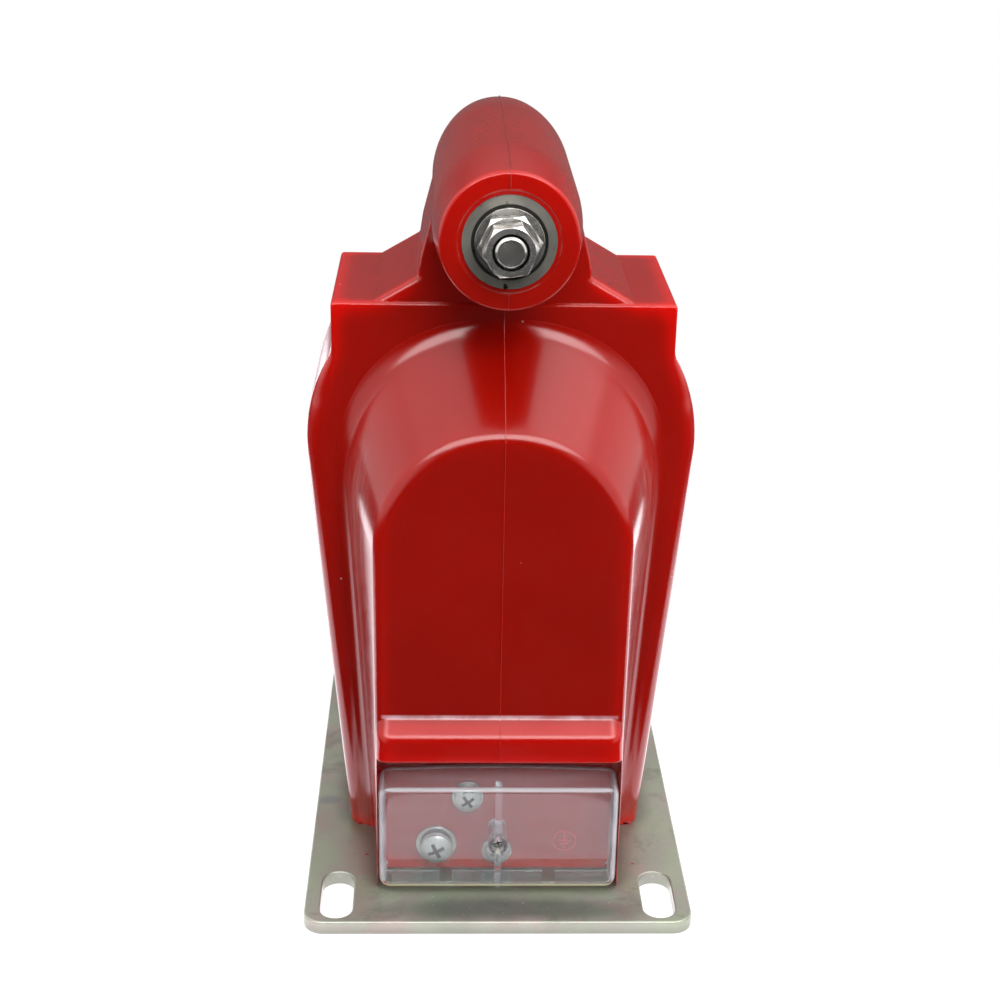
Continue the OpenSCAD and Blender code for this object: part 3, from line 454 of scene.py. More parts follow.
# Epoxy casting resin with red pigment, from a polished steel mould: glossy and slightly translucent. A painted
# glow stands in for the light that enters round an edge, making the edge brighter and more saturated than the
# middle of a face. A film of dust dulls it. The lift is the share of a paler colour.
def castResin(name="castEpoxyResin", lift=0.0):
    made, tree, spot, (x, y, z) = newMaterial(name)
    across, along = (add(tree, "Math", unsigned, value) for value in (x, y))
    axial = fromAxis(tree, x, z)[1]
    # Rays cast into the resin that meet another side within 9 mm show how near an edge is; the painted glow
    # grows there.
    depth = add(tree, "AmbientOcclusion", {"inside": True, "only_local": True, "samples": 8}, Distance=0.009)
    thin = mask(tree, ((depth, "AO"), 0.97, 0.5))
    # The metal inserts let no light through, so the rings round them keep little of the painted glow; what
    # stays is a painted light that grows towards the ring's top.
    backed = mask(tree, (axial, 0.0300, 0.0235), (along, 0.040, 0.070))
    paintedRingTopLight = mask(tree, (z, 0.256, 0.294, 0.0, 0.42))
    thin = add(tree, "Math", times, thin, add(tree, "MapRange", None, backed, 0.0, 1.0, 1.0, paintedRingTopLight))
    # The cheeks beside the terminal cover, which are thin, lose the painted glow too: a painted shade, as they
    # stand in the cover's shadow.
    shadedCheek = mask(tree, (across, 0.0470, 0.0478), (y, -0.066, -0.078), (z, 0.066, 0.060))
    thin = add(tree, "Math", times, thin, add(tree, "Math", minus, 1.0, shadedCheek))
    # The tube's skin lies over metal and gets no painted glow; nor does the neck below the tube, which is kept
    # dark as painted shade under the tube.
    glowlessTubeAndShadedNeck = add(tree, "Math", larger, mask(tree, (z, 0.250, 0.262)), mask(tree, (axial, 0.048, 0.036)))
    glowlessTubeAndShadedNeck = add(tree, "Math", times, glowlessTubeAndShadedNeck, mask(tree, (along, 0.0768, 0.0745)))
    thin = add(tree, "Math", times, thin, add(tree, "Math", minus, 1.0, glowlessTubeAndShadedNeck))
    # The ridge over the cover stands free on three sides and gets a painted glow.
    ridge = mask(tree, (y, -0.0800, -0.0830), (z, 0.060, 0.068, 0.0, 0.50))
    thin = add(tree, "Math", larger, thin, ridge)
    cloud = add(tree, "TexNoise", None, spot, Scale=14.0, Detail=3.0)      # patches about 70 mm across
    fine = add(tree, "TexNoise", None, spot, Scale=1100.0, Detail=3.0)     # dust grain about 1 mm
    deep = add(tree, "ValToRGB", {"stops": [(0.3, "#960D04"), (0.7, "#A00F05")]}, cloud)
    # Dust specks: a cell of 7 mm keeps a speck near its middle when its random number is high.
    cells = add(tree, "TexVoronoi", None, spot, Scale=140.0)
    chance = add(tree, "SeparateColor", None, (cells, "Color"))
    kept = add(tree, "Math", {"operation": "GREATER_THAN"}, chance, 0.93)
    speck = add(tree, "Math", times, mask(tree, (cells, 0.075, 0.035, 0.0, 0.55)), kept)
    # Pale dust stays in the hollow lines, within 5 mm, in uneven stretches.
    wipe = add(tree, "TexNoise", None, spot, Scale=60.0, Detail=5.0, Distortion=1.2)
    hollow = add(tree, "AmbientOcclusion", {"only_local": True, "samples": 8}, Distance=0.005)
    dusty = mask(tree, ((hollow, "AO"), 0.86, 0.5), (wipe, 0.42, 0.68, 0.0, 0.42))
    # A pale wiped smear, also a painted highlight, lies on each flank of the front housing: an ellipsoid,
    # streaky along Z.
    # The vectors are its middle, its three radii and the fineness of its streaks.
    off = add(tree, "CombineXYZ", None, across, y, z)
    off = add(tree, "VectorMath", minus, off, (0.0565, -0.056, 0.152))
    off = add(tree, "VectorMath", {"operation": "DIVIDE"}, off, (0.0075, 0.022, 0.034))
    streaky = add(tree, "VectorMath", times, spot, (420.0, 420.0, 45.0))
    streaks = add(tree, "TexNoise", None, streaky, Scale=1.0, Detail=4.0)
    smear = mask(tree, (add(tree, "VectorMath", length, off), 1.3, 0.3), (streaks, 0.30, 0.70, 0.10, 0.32))
    # Pale dust and a painted highlight fill the crease between the face and the ridge over the cover.
    above = add(tree, "Math", unsigned, add(tree, "Math", minus, z, 0.0813))
    creaseDustAndHighlight = mask(tree, (above, 0.0011, 0.0004), (across, 0.0475, 0.0460), (y, -0.0795, -0.0800),
                  (wipe, 0.30, 0.60, 0.25, 0.6))
    # The first layer is the painted glow, a brighter red near the edges.
    colour = painted(tree, deep, (thin, "#D30B04"), (speck, "#D9B8AC"), (lift, "#D8706A"), (dusty, "#C9A49E"),
                     (smear, "#C9A6A4"), (creaseDustAndHighlight, "#F0D2DA"))
    rough = add(tree, "MapRange", None, wipe, 0.3, 0.7, 0.15, 0.21)
    edge = add(tree, "Bevel", {"samples": 6}, Radius=0.0008)
    bump = add(tree, "Bump", None, Strength=0.04, Distance=0.0002, Height=fine, Normal=edge)
    shader = add(tree, "BsdfPrincipled", None, Base_Color=colour, Roughness=rough, Normal=bump, IOR=1.5,
                 Subsurface_Weight=0.3, Subsurface_Radius=(1.0, 0.1, 0.05), Subsurface_Scale=0.004)
    add(tree, "OutputMaterial", None, shader)
    return made


# A plated or bare metal: shades and roughness drift with a cloud of about 6 mm, the edges catch the light,
# and painted shade darkens the corners within 2.5 mm. The painted shade argument is a function that returns the
# share of darker places.
def metal(name, shades, roughness, metallic=1.0, paintedShade=None):
    made, tree, spot, (x, y, z) = newMaterial(name)
    cloud = add(tree, "TexNoise", None, spot, Scale=160.0, Detail=5.0)
    tone = add(tree, "ValToRGB", {"stops": [(0.3, shades[0]), (0.7, shades[1])]}, cloud)
    rough = add(tree, "MapRange", None, cloud, 0.3, 0.7, *roughness)
    edge = add(tree, "Bevel", {"samples": 6}, Radius=0.0003)
    # Painted shade in corners: ambient occlusion within 2.5 mm darkens the tone.
    corner = add(tree, "AmbientOcclusion", {"samples": 6}, Distance=0.0025)
    paintedCornerShade = mask(tree, ((corner, "AO"), 0.35, 0.95))
    paintedCornerShade = add(tree, "ValToRGB", {"stops": [(0.0, 0.15), (1.0, 1.0)]}, paintedCornerShade)
    tone = add(tree, "Mix", {"data_type": "RGBA", "blend_type": "MULTIPLY"}, 0.65, tone, paintedCornerShade)
    # Where it is given, painted shade in near black.
    if paintedShade:
        tone = painted(tree, tone, (paintedShade(tree, spot, x, z), "#1E1C1A"))
    shader = add(tree, "BsdfPrincipled", None, Base_Color=tone, Roughness=rough, Normal=edge,
                 Metallic=metallic)
    add(tree, "OutputMaterial", None, shader)
    return made


# Painted shadow: a dark ring fills the countersink round the high-voltage stud, from its radius of 5.9 mm out
# to 6.6 mm.
def paintedStudShade(tree, spot, x, z):
    radius = fromAxis(tree, x, z)[1]
    return mask(tree, (radius, 0.00575, 0.00592), (radius, 0.00690, 0.00640))


# Painted shade in the cross recess of the screw at (screwX, screwZ), a head wide and turned by an angle: the
# recess is two bars, each 0.12 of the head wide and 0.55 of it long.
def paintedRecessShade(screwX, screwZ, head, turn):
    wide, long = head * 0.06 * mm, head * 0.275 * mm

    def paintedShade(tree, spot, x, z):
        moved = add(tree, "VectorMath", minus, spot, (screwX * mm, 0, screwZ * mm))
        upright = add(tree, "VectorRotate", {"rotation_type": "Y_AXIS"}, moved, Angle=math.radians(turn))
        split = add(tree, "SeparateXYZ", None, upright)
        u, v = (add(tree, "Math", unsigned, (split, axis)) for axis in "XZ")
        bars = [mask(tree, (a, wide * 1.15, wide * 0.95), (b, long * 1.05, long * 0.97))
                for a, b in ((u, v), (v, u))]
        return add(tree, "Math", times, add(tree, "Math", larger, *bars), 0.85)
    return paintedShade


# The turned insert: dull zinc alloy with lathe rings 0.35 mm apart, rust specks and dark spots at its foot.
def turnedInsert():
    made, tree, spot, (x, y, z) = newMaterial("turnedZincAlloy")
    height, radius = fromAxis(tree, x, z)
    wave = add(tree, "Math", {"operation": "SINE"}, add(tree, "Math", times, radius, 2 * math.pi / 0.00035))
    cloud = add(tree, "TexNoise", None, spot, Scale=120.0, Detail=6.0)
    tone = add(tree, "ValToRGB", {"stops": [(0.3, "#96948B"), (0.7, "#ADABA2")]}, cloud)
    rust = add(tree, "TexNoise", None, spot, Scale=420.0, Detail=4.0)
    rusty = mask(tree, (rust, 0.66, 0.72))
    # Soot-dark spots keep to the lowest fifth of the disc.
    spots = add(tree, "TexNoise", None, spot, Scale=420.0, Detail=3.0)
    dark = mask(tree, (spots, 0.60, 0.66, 0.0, 0.85), (height, -0.0135, -0.0155))
    # Painted shadow: a near-black ring round the washer, where the gap of its seat lies in shade.
    paintedSeatShadow = mask(tree, (radius, 0.0122, 0.0127, 0.0, 0.85), (radius, 0.0141, 0.0137))
    colour = painted(tree, tone, (rusty, "#6E4632"), (dark, "#15120F"), (paintedSeatShadow, "#191816"))
    rings = add(tree, "Bump", None, Strength=0.25, Distance=0.00003, Height=wave)
    shader = add(tree, "BsdfPrincipled", None, Base_Color=colour, Roughness=0.42, Normal=rings, Metallic=0.85)
    add(tree, "OutputMaterial", None, shader)
    return made


# The plate's marks: a dark band in front of the body, two smudges at the left and two specks of red paint. Each
# is an ellipse: its place X and Y, its two radii, all in millimetres, then its strength and its colour.
plateMarks = [
    (6, -101, 62, 11, 0.72, "#4E534E"), (-72, -19, 7, 5, 0.45, "#76838F"), (-69, 11, 4, 3, 0.3, "#6A6E68"),
    (-54, -62, 1.3, 0.8, 0.9, "#B3150D"), (57, -69, 0.9, 0.7, 0.9, "#B3150D"),
]


# Zinc-plated rolled steel, passivated: grey with faint pink and green tints, wiped streaks and smudges.
def passivatedZinc(marks):
    made, tree, spot, (x, y, z) = newMaterial("passivatedZincPlate")
    broad = add(tree, "TexNoise", None, spot, Scale=16.0, Detail=5.0, Roughness=0.6)
    tint = add(tree, "TexNoise", None, spot, Scale=34.0, Detail=4.0, Distortion=1.5)
    grain = add(tree, "TexNoise", None, spot, Scale=900.0, Detail=3.0)
    base = add(tree, "ValToRGB", {"stops": [(0.3, "#969A8E"), (0.5, "#A6A99D"), (0.7, "#B5B7AC")]}, broad)
    film = add(tree, "ValToRGB", {"stops": [(0.36, "#B79A97"), (0.5, "#A3A598"), (0.64, "#A2B391")]}, tint)
    colour = add(tree, "Mix", colours, 0.38, base, film)
    smear = add(tree, "TexNoise", None, spot, Scale=26.0, Detail=8.0, Roughness=0.7, Distortion=0.6)
    # Smudges lie in streaks, and painted shade darkens the plate where it meets the body, within 12 mm.
    near = add(tree, "AmbientOcclusion", {"samples": 8}, Distance=0.012)
    smudgeAndContactShade = add(tree, "Math", larger, mask(tree, (smear, 0.52, 0.68, 0.0, 0.35)),
               mask(tree, ((near, "AO"), 0.9, 0.55, 0.0, 0.55)))
    layers = [(smudgeAndContactShade, "#565850")]
    for markX, markY, radiusX, radiusY, strength, code in marks:
        u = add(tree, "MapRange", {"clamp": False}, x, markX * mm, (markX + radiusX) * mm)
        v = add(tree, "MapRange", {"clamp": False}, y, markY * mm, (markY + radiusY) * mm)
        away = add(tree, "VectorMath", length, add(tree, "CombineXYZ", None, u, v, broad))
        layers.append((mask(tree, (away, 1.15, 0.55, 0.0, strength)), code))
    layers.append((mask(tree, (grain, 0.68, 0.74, 0.0, 0.5)), "#C9C9C0"))
    rough = add(tree, "MapRange", None, smear, 0.3, 0.7, 0.34, 0.52)
    bump = add(tree, "Bump", None, Strength=0.12, Distance=0.0001, Height=grain)
    shader = add(tree, "BsdfPrincipled", None, Base_Color=painted(tree, colour, *layers), Roughness=rough,
                 Normal=bump, Metallic=0.7)
    add(tree, "OutputMaterial", None, shader)
    return made


# Moulded transparent polycarbonate: clear, glossy, with light scratches and painted highlights along its edges.
# Shadow rays pass through.
def clearPlastic():
    made, tree, spot, (x, y, z) = newMaterial("clearPolycarbonate")
    across = add(tree, "Math", unsigned, x)
    forward = add(tree, "Math", times, y, -1.0)
    wipe = add(tree, "TexNoise", None, spot, Scale=220.0, Detail=6.0)
    rough = add(tree, "MapRange", None, wipe, 0.35, 0.75, 0.02, 0.09)
    shader = add(tree, "BsdfPrincipled", None, Base_Color=linear("#DFE6E8"), Roughness=rough, IOR=1.49,
                 Transmission_Weight=1.0)
    # A film of dust and fine scratches scatters a little light. Painted highlights in its pale diffuse colour
    # lie in the round corners, at the brow and along the top, at the rear edge, in the rib, and along the foot,
    # which is also tinted yellow-green.
    filmAndPaintedHighlights = add(tree, "MapRange", None, wipe, 0.35, 0.75, 0.02, 0.06)
    corner = mask(tree, (across, 0.0452, 0.0472, 0.0, 0.62))
    brow = mask(tree, (z, 0.0508, 0.0522, 0.0, 0.5), (forward, 0.0852, 0.0868))
    top = mask(tree, (z, 0.0512, 0.0520, 0.0, 0.11))
    rear = mask(tree, (forward, 0.0726, 0.0720, 0.0, 0.6))
    rib = mask(tree, (across, 0.0018, 0.0010, 0.0, 0.12))
    foot = mask(tree, (z, 0.0093, 0.0080), (forward, 0.0850, 0.0862, 0.0, 0.8))
    for zone in (corner, brow, top, rear, rib, foot):
        filmAndPaintedHighlights = add(tree, "Math", larger, filmAndPaintedHighlights, zone)
    dust = add(tree, "Mix", colours, foot, linear("#EFEEF4"), linear("#E2E2B0"))
    dusty = add(tree, "MixShader", None, filmAndPaintedHighlights, shader, add(tree, "BsdfDiffuse", None, dust))
    through = add(tree, "BsdfTransparent", None, linear("#F1EEF0"))
    shadow = add(tree, "LightPath"), "Is Shadow Ray"
    add(tree, "OutputMaterial", None, add(tree, "MixShader", None, shadow, dusty, through))
    return made


resin = castResin()
flash = castResin("sandedResinFlash", 0.12)
nickel = metal("nickelPlatedSteel", ("#C6C4BF", "#DFDDD8"), (0.16, 0.30), 0.9)
# Nickel with a painted shadow round the high-voltage stud.
nickelWithStudShade = metal("nickelPlatedSteelWithStudShade", ("#D3D2CE", "#EAE8E4"), (0.20, 0.34), 0.9, paintedStudShade)
# The cross-head screws: place X and Z, width of the head, turn of the recess in degrees.
screws = {
    "left_terminal_screw": (-25.0, 18.0, 12.8, 25), "top_terminal_screw": (-12.3, 40.0, 10.8, 35),
    "centre_terminal_screw": (0.0, 14.8, 9.6, 0), "cover_screw": (0.0, 26.0, 5.4, 20),
}
screwMetals = {name: metal("dusty_" + name, ("#C9C8C4", "#E2E0DC"), (0.25, 0.4), 0.8, paintedRecessShade(*values))
               for name, values in screws.items()}
insertMetal = turnedInsert()
zinc = passivatedZinc(plateMarks)
brass = metal("turnedBrass", ("#B0935A", "#C8AC6E"), (0.2, 0.35))
copper = metal("enamelledCopper", ("#A5643C", "#B97646"), (0.25, 0.4))
iron = metal("siliconSteelStrip", ("#4A4C4E", "#5C5E60"), (0.35, 0.5))
board = metal("pressboard", ("#B79F6E", "#C9B484"), (0.7, 0.85), 0.0)
clear = clearPlastic()
print("materials made")


# Red casting

castingSet = {
    "floorZ": 6.0, "slabDepth": 39.0, "footX": 62.0, "bellyX": 77.5, "bellyZ": 180.0, "bellyRadius": 72.0,
    "rim": 7.0, "shoulderX": 66.8, "shoulderZ": 238.5, "shoulderRound": 1.5, "edge": 1.2, "kinkRadius": 10.0,
    "roofX": 50.5, "neckFootX": 33.4, "neckFootZ": 248.5, "neckDepth": 38.0, "roofRim": 3.0,
    "neckX": 32.2, "neckRim": 0.8, "neckRound": 20.0, "neckFootRound": 1.5,
    "tubeZ": tubeZ, "tubeHalf": 78.0, "tubeEnd": 25.5, "tubeMiddle": 28.4, "tubeRim": 1.4,
    "insertRadius": 17.15, "insertDepth": 6.0, "stepRadius": 18.9, "step": 0.6,
    "faceY": 80.0, "rootX": 62.0, "rootFootX": 51.5, "rootArch": 63.5, "rootZ": 165.0, "rootPower": 2.3,
    "faceX": 49.1, "faceZ": 150.0, "fillet": 5.0, "faceEdge": 3.0,
    "blockY": 86.5, "blockZ": 74.3, "blockRise": 6.8, "blockEdge": 6.0, "blockFillet": 2.4,
    "chamberZ": 64.5, "chamberX": 48.5, "wallY": 71.0,
    "lineWide": 0.36, "lineProud": 0.13,
}


# The slab seen from the front, anticlockwise: leaning sides that touch the belly's circle, a soft inner
# corner whose arc touches the belly and the shoulder, and square shoulders.
def slabOutline(s):
    r, x0, z0 = s["bellyRadius"], s["bellyX"] - s["bellyRadius"], s["bellyZ"]
    run = np.array([x0 - s["footX"], z0 - s["floorZ"]])
    lean = math.atan2(run[0], run[1]) + math.asin(r / np.linalg.norm(run))
    k = s["kinkRadius"]
    kinkX = s["shoulderX"] + k
    kinkZ = z0 + math.sqrt((r + k) ** 2 - (kinkX - x0) ** 2)
    meet = math.degrees(math.atan2(kinkZ - z0, kinkX - x0))
    side = np.array([s["footX"] - math.tan(lean) * 6, s["floorZ"] - 6])
    start = arc((x0, z0), r, -math.degrees(lean), -math.degrees(lean), 1)[0]
    straight = side + (start - side) * np.linspace(0, 1, 60, endpoint=False)[:, None]
    belly = arc((x0, z0), r, -math.degrees(lean), meet, 60)[:-1]
    kink = arc((kinkX, kinkZ), k, meet + 180, 180, 12)
    r = s["shoulderRound"]
    corner = arc((s["shoulderX"] - r, s["shoulderZ"] - r), r, 0, 90, 6)
    right = np.vstack([straight, belly, kink, corner])
    return np.vstack([right, right[::-1] * [-1, 1]]), kinkZ


def makeSlab(s):
    path, kinkZ = slabOutline(s)
    path = spaced(path, 2.5)
    # The rim is round below the inner corner and nearly sharp on the shoulders.
    t = np.clip((path[:, 1] - (kinkZ - 22)) / 24, 0, 1)
    rim = s["rim"] + (s["edge"] - s["rim"]) * (t * t * (3 - 2 * t))
    return slabSkin("resinCasting", path, rim, s["slabDepth"])


# The rings of a housing: a fillet, a draft, a round edge. Each is its depth, its share of the way from root to
# face, and its growth.
def housingRings(s):
    run = s["faceY"] - s["slabDepth"]
    f, e = s["fillet"], s["faceEdge"]
    rings = [(s["slabDepth"] - 2, 0, f + 2)]
    for a in np.radians(np.linspace(12, 90, 12)):
        along = f * (1 - math.cos(a))
        rings.append((s["slabDepth"] + along, along / run, f * (1 - math.sin(a))))
    for w in np.linspace(f / run, 1 - e / run, 20)[1:-1]:
        rings.append((s["slabDepth"] + w * run, w, 0))
    for a in np.radians(np.linspace(0, 90, 8)):
        short = e * (1 - math.sin(a))
        rings.append((s["faceY"] - short, 1 - short / run, -e * (1 - math.cos(a))))
    return rings


# A coil housing. Each ring has leaning sides and an arch on a superellipse, x = a cos(t)^(2/n) and
# z = axis + b sin(t)^(2/n), whose a, b, n and axis change evenly from the root on the slab to the face.
def makeHousing(s, side):
    t = np.linspace(0, np.pi, 121)
    rows = []
    for y, w, grow in housingRings(s):
        foot = s["rootFootX"] + (s["faceX"] - s["rootFootX"]) * w + grow
        half = s["rootX"] + (s["faceX"] - s["rootX"]) * w + grow
        high = s["rootArch"] + (s["faceX"] - s["rootArch"]) * w + grow
        power = s["rootPower"] + (2 - s["rootPower"]) * w
        axis = s["rootZ"] + (s["faceZ"] - s["rootZ"]) * w
        x = half * np.sign(np.cos(t)) * np.abs(np.cos(t)) ** (2 / power)
        z = axis + high * np.abs(np.sin(t)) ** (2 / power)
        rise = np.linspace(0, 1, 24, endpoint=False)
        lowX = foot + (half - foot) * rise
        lowZ = s["floorZ"] - 3 + (axis - s["floorZ"] + 3) * rise
        x = np.concatenate([lowX, x, -lowX[::-1]])
        z = np.concatenate([lowZ, z, lowZ[::-1]])
        rows.append(np.stack([x * side, np.full_like(x, -y * side), z], -1))
    return skin("housing", np.array(rows))


# The roof's slopes and the neck seen from the front. The rim is wide on the slopes and narrow on the neck.
def makeRoof(s):
    slope = (s["neckFootZ"] - s["shoulderZ"]) / (s["roofX"] - s["neckFootX"])
    outX = s["roofX"] + 5
    outZ = s["shoulderZ"] - 5 * slope
    half = [(outX, outZ - 12), (outX, outZ), (s["neckFootX"], s["neckFootZ"]), (s["neckX"], s["neckFootZ"] + 8),
            (s["tubeMiddle"] - 0.3, s["tubeZ"])]
    corners = half + [(-x, z) for x, z in reversed(half)]
    rounds = [0, 0, s["neckFootRound"], s["neckRound"], 0]
    path = spaced(roundedPath(corners, rounds + rounds[::-1]), 1.5)
    t = np.clip((path[:, 1] - (s["neckFootZ"] - 1)) / 4, 0, 1)
    rim = s["roofRim"] + (s["neckRim"] - s["roofRim"]) * (t * t * (3 - 2 * t))
    return slabSkin("roof", path, rim, s["neckDepth"])


# Half of the tube's profile as (distance from the middle, radius), from the insert's seat out over the rim
# and in to the neck. With t from 0 at the rim to 1 at the neck, the side swells as 1 - (1 - t)^1.8.
def tubeSide(s):
    end, rim, half = s["tubeEnd"], s["tubeRim"], s["tubeHalf"]
    lip = arc((half - rim, end - rim), rim, 0, 90, 10)
    swell = np.linspace(half - rim, s["neckDepth"], 16)[1:]
    ease = (half - rim - swell) / (half - rim - s["neckDepth"])
    return np.vstack([lip, np.stack([swell, end + (s["tubeMiddle"] - end) * (1 - (1 - ease) ** 1.8)], -1)])


def makeTube(s):
    half, seat, outer = s["tubeHalf"], s["insertRadius"], s["stepRadius"]
    low = half - s["step"]
    face = [(half - s["insertDepth"], 0.01), (half - s["insertDepth"], seat), (low - 0.15, seat),
            (low, seat + 0.15), (low, outer - 0.1), (half - 0.15, outer), (half, outer + 0.25)]
    near = np.vstack([face, tubeSide(s)])
    profile = np.vstack([near, near[::-1] * [-1, 1]])
    return turned("tube", profile[::-1], (0, 0, s["tubeZ"]), (0, 1, 0), 160)


# The block's front seen from the side, from its foot up: an upright front, a round edge, a slope and a soft
# inner corner that runs up the housing face. Pairs are (depth, height).
def blockFront(s):
    slope = math.atan2(s["blockRise"], s["blockY"] - s["faceY"])
    edge = s["blockEdge"] * math.tan(math.pi / 4 - slope / 2)
    inner = s["blockFillet"] * math.tan(math.pi / 4 - slope / 2)
    lift = math.degrees(slope)
    topZ = s["blockZ"] + s["blockRise"]
    brow = arc((s["blockY"] - s["blockEdge"], s["blockZ"] - edge), s["blockEdge"], 0, 90 - lift, 10)
    nook = arc((s["faceY"] + s["blockFillet"], topZ + inner), s["blockFillet"], 270 - lift, 180, 10)
    return np.vstack([[[s["blockY"], 0], [s["blockY"], 30], [s["blockY"], 55]], brow, nook])


# Level sections of the block, each with round front corners, stacked along its front's profile.
def makeBlock(s):
    walk = blockFront(s)
    walk = np.vstack([walk, [s["faceY"] - 0.3, walk[-1, 1] + 0.8]])
    rows = []
    for depth, z in walk:
        # The front corners grow rounder towards the ridge.
        t = min(max((z - 64) / 10, 0), 1)
        r = s["faceEdge"] + 3 * t * t * (3 - 2 * t)
        plan = np.vstack([[[s["faceX"], -45]], arc((s["faceX"] - r, r - depth), r, 0, -90, 8),
                          arc((r - s["faceX"], r - depth), r, -90, -180, 8), [[-s["faceX"], -45]]])
        rows.append(np.column_stack([plan, np.full(len(plan), z)]))
    return skin("block", np.array(rows)[::-1])


# The mould's parting line: a fine raised seam round the casting at X = 0. Its section is a low arch.
def seam(name, path, s):
    path = np.asarray(path, float)
    ahead = np.gradient(path, axis=0)
    ahead /= np.linalg.norm(ahead, axis=1)[:, None]
    outward = np.stack([-ahead[:, 1], ahead[:, 0]], -1)
    w, h = s["lineWide"] / 2, s["lineProud"]
    section = np.array([[-w, -0.4], [w, -0.4], [w, 0], [w * 0.6, h * 0.8], [0, h], [-w * 0.6, h * 0.8],
                        [-w, 0]])
    flat = path[:, None, :] + outward[:, None, :] * section[None, :, 1:2]
    x = np.broadcast_to(section[None, :, 0], flat.shape[:2])
    return skin(name, np.stack([x, flat[..., 0], flat[..., 1]], -1))


def seamPaths(s):
    # Pairs are (Y, Z), front half first, with the outside on the left of the way along the path.
    front = blockFront(s)
    front = front[front[:, 1] >= s["chamberZ"] - 12]
    front[:, 1] = np.maximum(front[:, 1], s["chamberZ"])
    crown = s["rootZ"] + s["rootArch"]
    fall = crown - s["faceZ"] - s["faceX"]
    climb = [(y, crown - fall * w + grow) for y, w, grow in housingRings(s)[1:]][::-1]
    neck = [(s["slabDepth"], s["shoulderZ"] - 0.5)]
    up = np.vstack([front, climb, neck])
    up = up * [-1, 1]
    side = tubeSide(s)
    under = np.stack([-side[:, 0], s["tubeZ"] - side[:, 1]], -1)[::-1]
    under = np.vstack([under, [[-s["tubeHalf"], s["tubeZ"] - s["stepRadius"] - 0.4]]])
    over = np.stack([-side[:, 0], s["tubeZ"] + side[:, 1]], -1)
    over = np.vstack([[[-s["tubeHalf"], s["tubeZ"] + s["stepRadius"] + 0.4]], over])
    over = np.vstack([over, over[::-1] * [-1, 1]])
    return up, under, over


def makeCasting(s):
    casting = makeSlab(s)
    parts = [makeHousing(s, 1), makeHousing(s, -1), makeRoof(s), makeTube(s), makeBlock(s)]
    boolean(casting, parts, "UNION")
    cuts = [boxMesh("floorCut", (-100, -100, -20), (100, 100, s["floorZ"])),
            boxMesh("chamberCut", (-s["chamberX"], -100, 0), (s["chamberX"], -s["wallY"], s["chamberZ"]))]
    boolean(casting, cuts, "DIFFERENCE")
    finish(casting, resin, ["resin_body"])
    up, under, over = seamPaths(s)
    lines = [seam("line", path[::-1], s) for path in (up, under, over)]
    finish(joined(lines, "partingLine"), flash, angle=60, weigh=False)


makeCasting(castingSet)


# Earth sign, moulded proud of the chamber's rear wall beside the terminals

signSet = {
    "place": (27.8, -71.0, 18.8), "radius": 5.0, "line": 0.65, "proud": 0.4,
    "bars": ((0.2, 5.6), (-1.4, 3.6), (-3.0, 1.6)),    # height over the middle, and length
}


# A ring with a half-round section, a stem from its top to the first bar, and three bars that grow shorter.
def makeSign(s):
    x, y, z = s["place"]
    w, h = s["line"] / 2, s["proud"]
    arch = [(h * math.sin(t), s["radius"] - w - w * math.cos(t)) for t in np.linspace(0, math.pi, 9)]
    section = [(-0.3, s["radius"] - 2 * w)] + arch + [(-0.3, s["radius"])]
    sign = ringSkin("earthSign", revolved(section, (x, y, z), (0, -1, 0), 72))
    strokes = [boxMesh("stem", (x - w, y - h, z + s["bars"][0][0]), (x + w, y + 0.3, z + s["radius"] - w))]
    strokes += [boxMesh("bar", (x - wide / 2, y - h, z + up - w), (x + wide / 2, y + 0.3, z + up + w))
                for up, wide in s["bars"]]
    return boolean(sign, strokes, "UNION")


finish(makeSign(signSet), flash, angle=40)


# Base plate

plateSet = {
    "halfX": 77.5, "halfY": 110.0, "thick": 6.0, "corner": 8.0, "edge": 0.9,
    "slotX": 64.7, "slotY": 91.0, "slotWide": 13.0, "slotLong": 32.0,
}


# The plate: level sections of a rounded rectangle, drawn in by a quarter round at the top and bottom edges.
def makePlate(s):
    e = s["edge"]
    a = np.radians(np.linspace(0, 90, 6))
    low = [(e * (1 - math.cos(t)), e * (1 - math.sin(t))) for t in a]
    levels = [(z, inset) for z, inset in low] + [(s["thick"] - z, inset) for z, inset in low[::-1]]
    rows = []
    for z, inset in levels:
        x, y, r = s["halfX"] - inset, s["halfY"] - inset, s["corner"] - inset
        path = roundedPath([(x, y), (-x, y), (-x, -y), (x, -y)], [r] * 4, 10)
        rows.append(np.column_stack([path, np.full(len(path), z)]))
    plate = skin("basePlate", np.array(rows))
    slots = [makeSlot(s, x * s["slotX"], y * s["slotY"]) for x in (-1, 1) for y in (-1, 1)]
    return boolean(plate, slots, "DIFFERENCE")


# A slot's cutter: level sections of two half circles, widened by the same quarter round at both faces.
def makeSlot(s, x, y):
    e = s["edge"] * 0.6
    r, reach = s["slotWide"] / 2, (s["slotLong"] - s["slotWide"]) / 2
    a = np.radians(np.linspace(0, 90, 6))
    levels = [(-2, e + 2)] + [(e * (1 - math.cos(t)), e * (1 - math.sin(t))) for t in a]
    levels += [(s["thick"] - z, grow) for z, grow in levels[::-1]]
    rows = []
    for z, grow in levels:
        path = np.vstack([arc((x, y + side * reach), r + grow, turn, turn + 180, 20)
                          for side, turn in ((1, 0), (-1, 180))])
        rows.append(np.column_stack([path, np.full(len(path), z)]))
    return skin("slot", np.array(rows))


finish(makePlate(plateSet), zinc, ["base_plate"])


# Terminal cover

